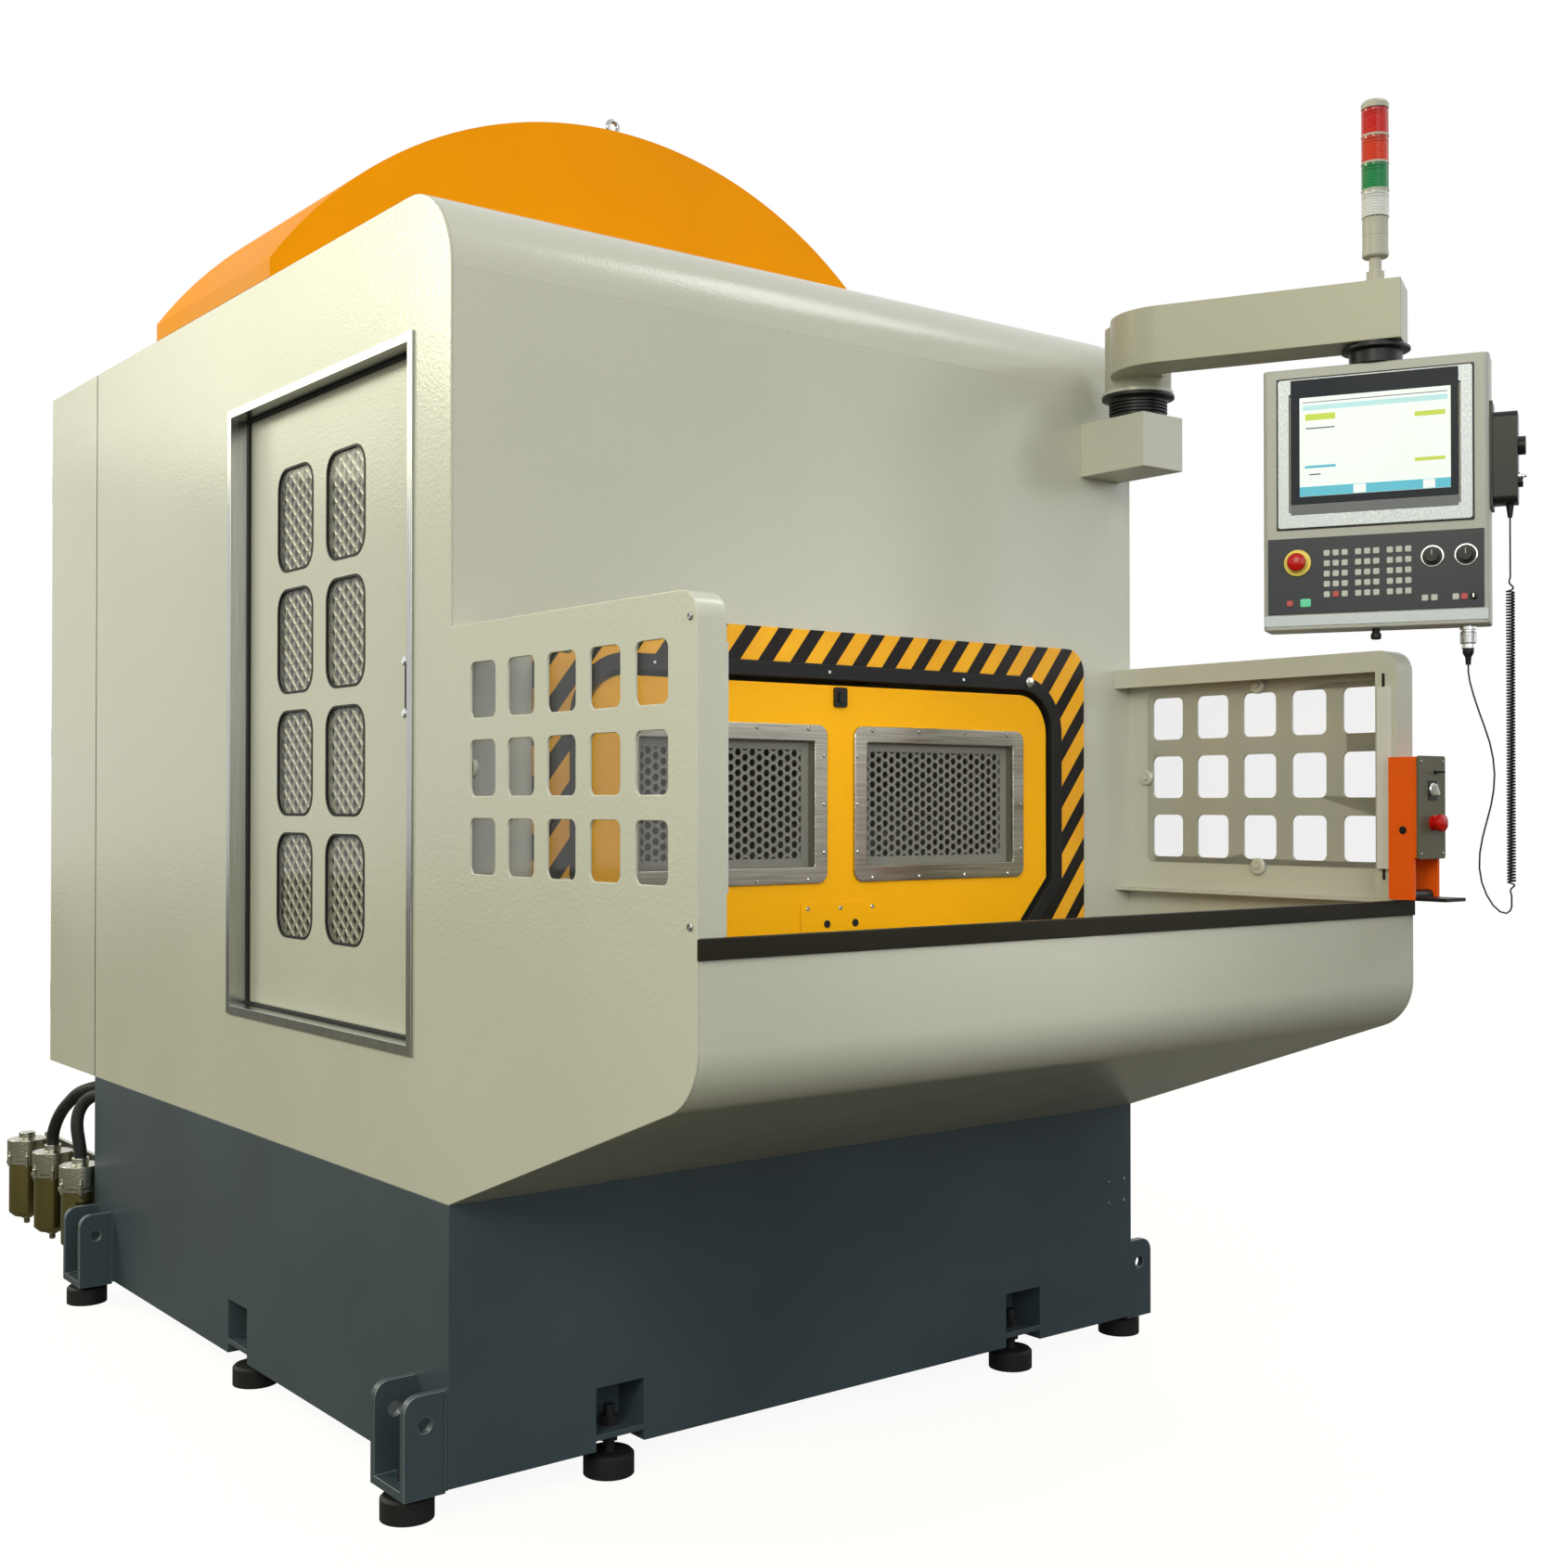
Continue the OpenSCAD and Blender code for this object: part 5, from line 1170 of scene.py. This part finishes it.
class DEBURR_OT_panel(bpy.types.Operator):
    """Operator panel: housing, screen, keys, knobs, stop button and pendant"""
    bl_idname = "deburr.panel"
    bl_label = "Operator panel"

    def execute(self, context):
        finish = MADE["finish"]
        dress("panel_housing", [finish["panel"]], 4.0)
        dress("screen_bezel", [finish["flat_aluminium"]], 1.5)
        dress("key_panel", [finish["keys_field"]], 1.5)
        dress("pendant", [finish["black"]], 4.0)
        self.display(finish)
        self.keys(finish)
        self.controls(finish)
        self.pendant_parts(finish)
        return {"FINISHED"}

    def display(self, finish):
        """Screen with plain colour fields, the gap round it and the strip at the panel's foot."""
        face = face_depth("screen_bezel")
        housing = face_depth("panel_housing")
        looks = [finish[name] for name in
                 ("display", "lit_white", "lit_green", "lit_cyan", "lit_grey", "band", "lit_pale")]
        bm = bmesh.new()
        plate(bm, on_panel("front", 0.0, face, 2255.5), 370, 291, -2.0, 1.2, 3)
        plate(bm, on_panel("front", 0.0, face, 2097.5), 370, 24, -2.0, 0.8, 2, 5)
        fields = ((2.0, 2243.0, 333, 231, 1), (2.0, 2347.0, 320, 2, 4), (2.0, 2334.0, 320, 12, 6),
                  (-118.0, 2312.0, 68, 15, 2), (124.0, 2300.0, 66, 11, 2), (-118.0, 2286.0, 66, 3, 4),
                  (-118.0, 2196.0, 70, 6, 3), (124.0, 2196.0, 66, 8, 2), (-130.0, 2178.0, 26, 3, 4),
                  (2.0, 2139.0, 333, 22, 3), (-30.0, 2139.0, 28, 20, 1), (122.0, 2139.0, 26, 20, 1))
        for order, (u, z, width, height, slot) in enumerate(fields):
            plate(bm, on_panel("front", u, face, z), width, height, 0.5, 1.4 + 0.05 * order, 1.0, slot)
        piece("display_picture", bm, looks, "operator_panel", ("display_glass",))
        gap = bmesh.new()
        hoop(gap, on_panel("front", 0.0, housing, 2229.5), rounded_outline(437, 357, 3),
             rounded_outline(428, 348, 2), -1.0, 0.8)
        piece("screen_gap_line", gap, [finish["black"]], "operator_panel")
        strip = bmesh.new()
        plate(strip, on_panel("front", 0.0, housing, 1839.0), 494, 26, -1.0, 1.6, 2)
        piece("panel_bottom_strip", strip, [finish["flat_aluminium"]], "operator_panel",
              (), 0.6)

    def keys(self, finish):
        """Three blocks of pale keys and the low row with green and red keys."""
        first_u = -104.0
        block_pitch = 70.0
        column_pitch = 20.0
        top_z = 1993.0
        row_pitch = 24.0
        face = face_depth("key_panel")
        flat = centred(on_panel("front", 0.0, 0.0, 0.0))
        small = bmesh.new()
        wide = bmesh.new()
        for bm, width, height in ((small, 14, 14), (wide, 24, 19)):
            base = rounded_outline(width, height, 2.5, 2)
            crown = rounded_outline(width - 2, height - 2, 2.5, 2)
            edges = ((base, -1.0), (base, 1.6), (crown, 2.6))
            loft(bm, [ring_of(bm, flat, points, w) for points, w in edges])
        red = small.copy()
        spots = []
        for block in range(3):
            for column in range(3):
                u = first_u + block_pitch * block + column_pitch * column
                spots.extend((u, top_z - row_pitch * row) for row in range(5))
        spots.extend((u, LOW_KEY_Z) for u in (-188.0, -152.0, 112.0, 132.0, 178.0, 196.0))
        greens = [(-152.0, LOW_KEY_Z)]
        reds = [(-188.0, LOW_KEY_Z), (first_u + column_pitch, top_z - row_pitch * 4), (196.0, LOW_KEY_Z)]
        pale = [spot for spot in spots if spot not in greens and spot not in reds]
        kinds = (("pale_keys", small, pale, "key", ("panel_keys",)),
                 ("green_keys", wide, greens, "key_green", ()),
                 ("red_keys", red, reds, "key_red", ()))
        for name, shape, chosen, kind, stands in kinds:
            places = [panel_point(u, face, z) for u, z in chosen]
            repeat(name, shape, places, finish[kind], "operator_panel", stands)

    def controls(self, finish):
        """Stop button with its ring, and the two override knobs."""
        face = face_depth("key_panel")
        place = on_panel("front", -170.0, face, KNOB_ROW_Z)
        bm = bmesh.new()
        turned(bm, place, ((13, 7), (13, 14), (20.5, 16), (21.5, 22), (20, 27), (14, 30), (4, 31)), 40)
        piece("panel_stop_button", bm, [finish["stop_red"]], "panel_stop", ("panel_estop",))
        bm = bmesh.new()
        hoop(bm, place, circle_outline(31), circle_outline(14.5), 0.0, 5.0)
        piece("panel_stop_ring", bm, [finish["stop_yellow"]], "operator_panel", (), 1.5)
        looks = [finish["chrome"], finish["black"], finish["key"]]
        for u, body, node in ((128.0, "left_knob", "override_knob_left"),
                              (200.0, "right_knob", "override_knob_right")):
            place = on_panel("front", u, face, KNOB_ROW_Z)
            knob = bmesh.new()
            turned(knob, place, ((25, 0.3), (25, 1.8), (24, 2.4), (22.4, 2.4), (22.4, 1.0)), 40, 0)
            turned(knob, place, ((22.3, 0.3), (22.3, 1.6), (16, 2.0), (15, 2.2)), 40, 1)
            sides = 24
            ridges = circle_outline(14.5, sides)
            grooves = circle_outline(13.2, sides)
            knurl = [ridges[step] if step % 2 else grooves[step] for step in range(sides)]
            prism(knob, place, knurl, 2.6, 18.0, 1)
            plate(knob, place @ Matrix.Translation((0.0, 7.0, 0.0)), 1.8, 12, 17.8, 18.4, 0.5, 2)
            piece(node + "_knurled", knob, looks, body, (node,))

    def pendant_parts(self, finish):
        """Knob under the panel, key switch and the pendant's toggle."""
        toggle_z = 2150.0
        bm = bmesh.new()
        place = on_panel("front", 0.0, -12.0, PANEL_BOTTOM_Z) @ Matrix.Rotation(math.radians(90.0), 4, "X")
        turned(bm, place, ((9, -1), (9, 10), (12, 12), (12, 22), (9, 25)), 28)
        piece("under_panel_knob", bm, [finish["black"]], "operator_panel")
        bm = bmesh.new()
        lock = on_panel("front", 216.0, face_depth("key_panel"), LOW_KEY_Z)
        turned(bm, lock, ((8, -0.5), (8, 3), (6.5, 4), (3, 4)), 24, 0)
        plate(bm, lock, 2.2, 9, 3.5, 12, 0.8, 1)
        toggle = on_panel("right", 308.0, -4.0, toggle_z)
        turned(bm, toggle, ((9, -1), (9, 4), (6, 6), (4, 7), (3, 14), (4, 16), (3, 18)), 20, 1)
        guard = on_panel("front", 318.0, -4.0, toggle_z)
        hoop(bm, guard, circle_outline(11), circle_outline(9), -1.0, 1.0, 1)
        piece("panel_key_switches", bm, [finish["black"], finish["chrome"]], "operator_panel")


class DEBURR_OT_start_box(bpy.types.Operator):
    """Start box with its stop button, selector and paddle"""
    bl_idname = "deburr.start_box"
    bl_label = "Start box"

    def execute(self, context):
        finish = MADE["finish"]
        dress("start_box", [finish["start"]], 3.0)
        dress("start_box_cover", [finish["cover"]], 2.0)
        dress("start_paddle", [finish["black"]], 2.0)
        bm = bmesh.new()
        turned(bm, facing("front", 954.0, START_BOX_Y, 1368.0),
               ((17, -1), (17, 6), (13, 7), (13, 13), (19, 15), (19.5, 21), (18, 26), (12, 29), (3, 30)), 36)
        piece("start_stop_button", bm, [finish["stop_red"]], "start_stop", ("start_estop",))
        bm = bmesh.new()
        place = facing("front", 950.0, START_BOX_Y, 1442.0)
        turned(bm, place, ((15, -1), (15, 4), (13, 6), (10, 6.5)), 32)
        plate(bm, place @ Matrix.Rotation(math.radians(30.0), 4, "Z"), 9, 26, 5, 15, 3, 1)
        piece("start_selector_knob", bm, [finish["chrome"], finish["key"]], "selector",
              ("start_selector",), 0.6)
        bm = bmesh.new()
        turned(bm, facing("left", 900.0, -1962.0, 1352.0), ((9, -1), (9, 1.5), (6.5, 2.0), (6, 0.6)), 20)
        plate(bm, facing("front", 950.0, START_BOX_Y, 1440.0), 30, 44, -0.5, 2.0, 3)
        turned(bm, facing("front", 962.0, START_BOX_Y, 1481.0),
               ((5, -0.5), (5, 3), (2.4, 4), (2.0, 20), (2.8, 24)), 16)
        piece("start_box_gland", bm, [finish["black"]], "frame")
        spots = [at(x, START_BOX_Y, z) for x in (908.0, 992.0) for z in (1300.0, 1505.0)]
        screws("start_cover_screws", "front", 7.0, 2.0, spots, finish["steel"], "frame")
        return {"FINISHED"}


class DEBURR_OT_filters(bpy.types.Operator):
    """Three coolant filters with clamps, drains and hoses"""
    bl_idname = "deburr.filters"
    bl_label = "Filters"

    def execute(self, context):
        finish = MADE["finish"]
        dress("filter_heads", [finish["cast"]], 2.0)
        dress("filter_bowls", [finish["bowl"]], 2.0)
        self.hoses(finish)
        lug_circle = 56.0
        rings = bmesh.new()
        for y in FILTER_Y:
            place = facing("up", FILTER_X, y, 0.0)
            turned(rings, place, ((53.7, 286), (60, 289), (60, 298), (53.7, 300)), 36)
            for lug in range(6):
                turn = math.radians(60.0 * lug + 15.0)
                spot = facing("up", FILTER_X + lug_circle * math.cos(turn),
                              y + lug_circle * math.sin(turn), 0.0)
                turned(rings, spot, ((8, 284), (8, 314), (6, 316), (5, 326), (4, 327)), 10)
            drain = facing("down", FILTER_X, y, 123.0)
            turned(rings, drain, ((16, -1), (16, 8), (9, 10), (9, 24), (6, 26)), 20, 1)
        piece("filter_clamp_rings", rings, [finish["cast"], finish["steel"]], "frame")
        return {"FINISHED"}

    def hoses(self, finish):
        """Smooth hoses from two filter heads into the back of the base: x, share inward and share up."""
        port_z = 382.0
        deck_z = 623.0
        hose_radius = 0.018
        rise = deck_z - port_z
        routes = ((FILTER_Y[0], ((0, 0, 0), (0, 0, 0.08), (-3, -0.06, 0.2), (-6, -0.18, 0.37),
                                 (0, -0.28, 0.52), (14, -0.21, 0.64), (32, 0.06, 0.72), (46, 0.46, 0.747),
                                 (50, 0.77, 0.75), (50, 1, 0.75))),
                  (FILTER_Y[1], ((0, 0, 0), (0, 0, 0.08), (1, 0.024, 0.18), (6, 0.076, 0.315),
                                 (12, 0.158, 0.44), (20, 0.258, 0.55), (38, 0.41, 0.7), (70, 0.65, 0.8),
                                 (94, 0.85, 0.826), (100, 0.933, 0.83), (100, 1, 0.83))))
        bm = bmesh.new()
        for y, ways in routes:
            route = [at(FILTER_X + x, y + (CABIN_BACK_Y - y) * inward, port_z + rise * up)
                     for x, inward, up in ways]
            tube(bm, smooth_route(route), hose_radius, 24)
        piece("smooth_filter_hoses", bm, [finish["hose"]], "frame", ("filter_hoses",))


class DEBURR_OT_robot(bpy.types.Operator):
    """Turntable, drive and the robot inside the cabin"""
    bl_idname = "deburr.robot"
    bl_label = "Turntable and robot"

    def execute(self, context):
        finish = MADE["finish"]
        dress("table_drive", [finish["iron"]], 3.0)
        dress("table_disc", [finish["table"]], 2.0)
        dress("robot_pedestal", [finish["iron"]], 4.0)
        for node in ("robot_turret", "robot_lower_arm", "robot_forearm", "robot_wrist"):
            dress(node, [finish["robot"]], 4.0)
        dress("spindle", [finish["steel"]], 1.0)
        return {"FINISHED"}


def colour_setting(name, description, default):
    """Colour that a user may change."""
    return bpy.props.FloatVectorProperty(name=name, description=description, subtype="COLOR", default=default)


def length_setting(name, description, default):
    """Length in metres that a user may change."""
    return bpy.props.FloatProperty(name=name, description=description, unit="LENGTH", default=default)


class DeburringMachineSettings(bpy.types.PropertyGroup):
    """Colours and sizes of the deburring machine"""
    cabin_colour: colour_setting("Cabin colour", "Powder coat of the cabin", srgb(200, 200, 187))
    base_colour: colour_setting("Base colour", "Paint of the welded base", srgb(65, 78, 86))
    hood_colour: colour_setting("Hood colour", "Coat of the roof hood", srgb(250, 157, 0))
    partition_colour: colour_setting("Partition colour", "Coat of the turning partition", srgb(252, 180, 12))
    stripe_yellow: colour_setting("Stripe yellow", "Light stripes of the portal", srgb(252, 178, 40))
    stripe_pitch: length_setting("Stripe pitch", "Width of one light and one dark stripe", 0.091)
    guard_pitch: length_setting("Guard pitch", "Spacing of the holes in the partition guards", 0.023)
    mesh_width: length_setting("Mesh width", "Width of one cell of the door mesh", 0.046)
    mesh_height: length_setting("Mesh height", "Height of one cell of the door mesh", 0.037)
    cord_diameter: length_setting("Cord diameter", "Thickness of the curly cord", 0.004)
    cord_turns: bpy.props.IntProperty(
        name="Cord turns", description="Turns of the curly cord", default=100)


OPERATORS = (DEBURR_OT_stage, DEBURR_OT_cord, DEBURR_OT_base, DEBURR_OT_cabin, DEBURR_OT_door,
             DEBURR_OT_opening, DEBURR_OT_bay, DEBURR_OT_arm, DEBURR_OT_panel, DEBURR_OT_start_box,
             DEBURR_OT_filters, DEBURR_OT_robot)


class DEBURR_PT_sidebar(bpy.types.Panel):
    """Sizes, colours and pieces of the deburring machine"""
    bl_idname = "DEBURR_PT_sidebar"
    bl_label = "Deburring machine"
    bl_space_type = "VIEW_3D"
    bl_region_type = "UI"
    bl_category = "Deburring"

    def draw(self, context):
        look = context.scene.deburring_machine
        for name in DeburringMachineSettings.__annotations__:
            self.layout.prop(look, name)
        for operator in OPERATORS:
            self.layout.operator(operator.bl_idname)


CLASSES = (DeburringMachineSettings, *OPERATORS, DEBURR_PT_sidebar)


def register():
    for one in CLASSES:
        bpy.utils.register_class(one)
    bpy.types.Scene.deburring_machine = bpy.props.PointerProperty(type=DeburringMachineSettings)


def unregister():
    del bpy.types.Scene.deburring_machine
    for one in reversed(CLASSES):
        bpy.utils.unregister_class(one)


def main():
    register()
    MADE["finish"] = make_finishes(bpy.context.scene.deburring_machine)
    for operator in OPERATORS:
        group, name = operator.bl_idname.split(".")
        getattr(getattr(bpy.ops, group), name)()


if __name__ == "__main__":
    main()
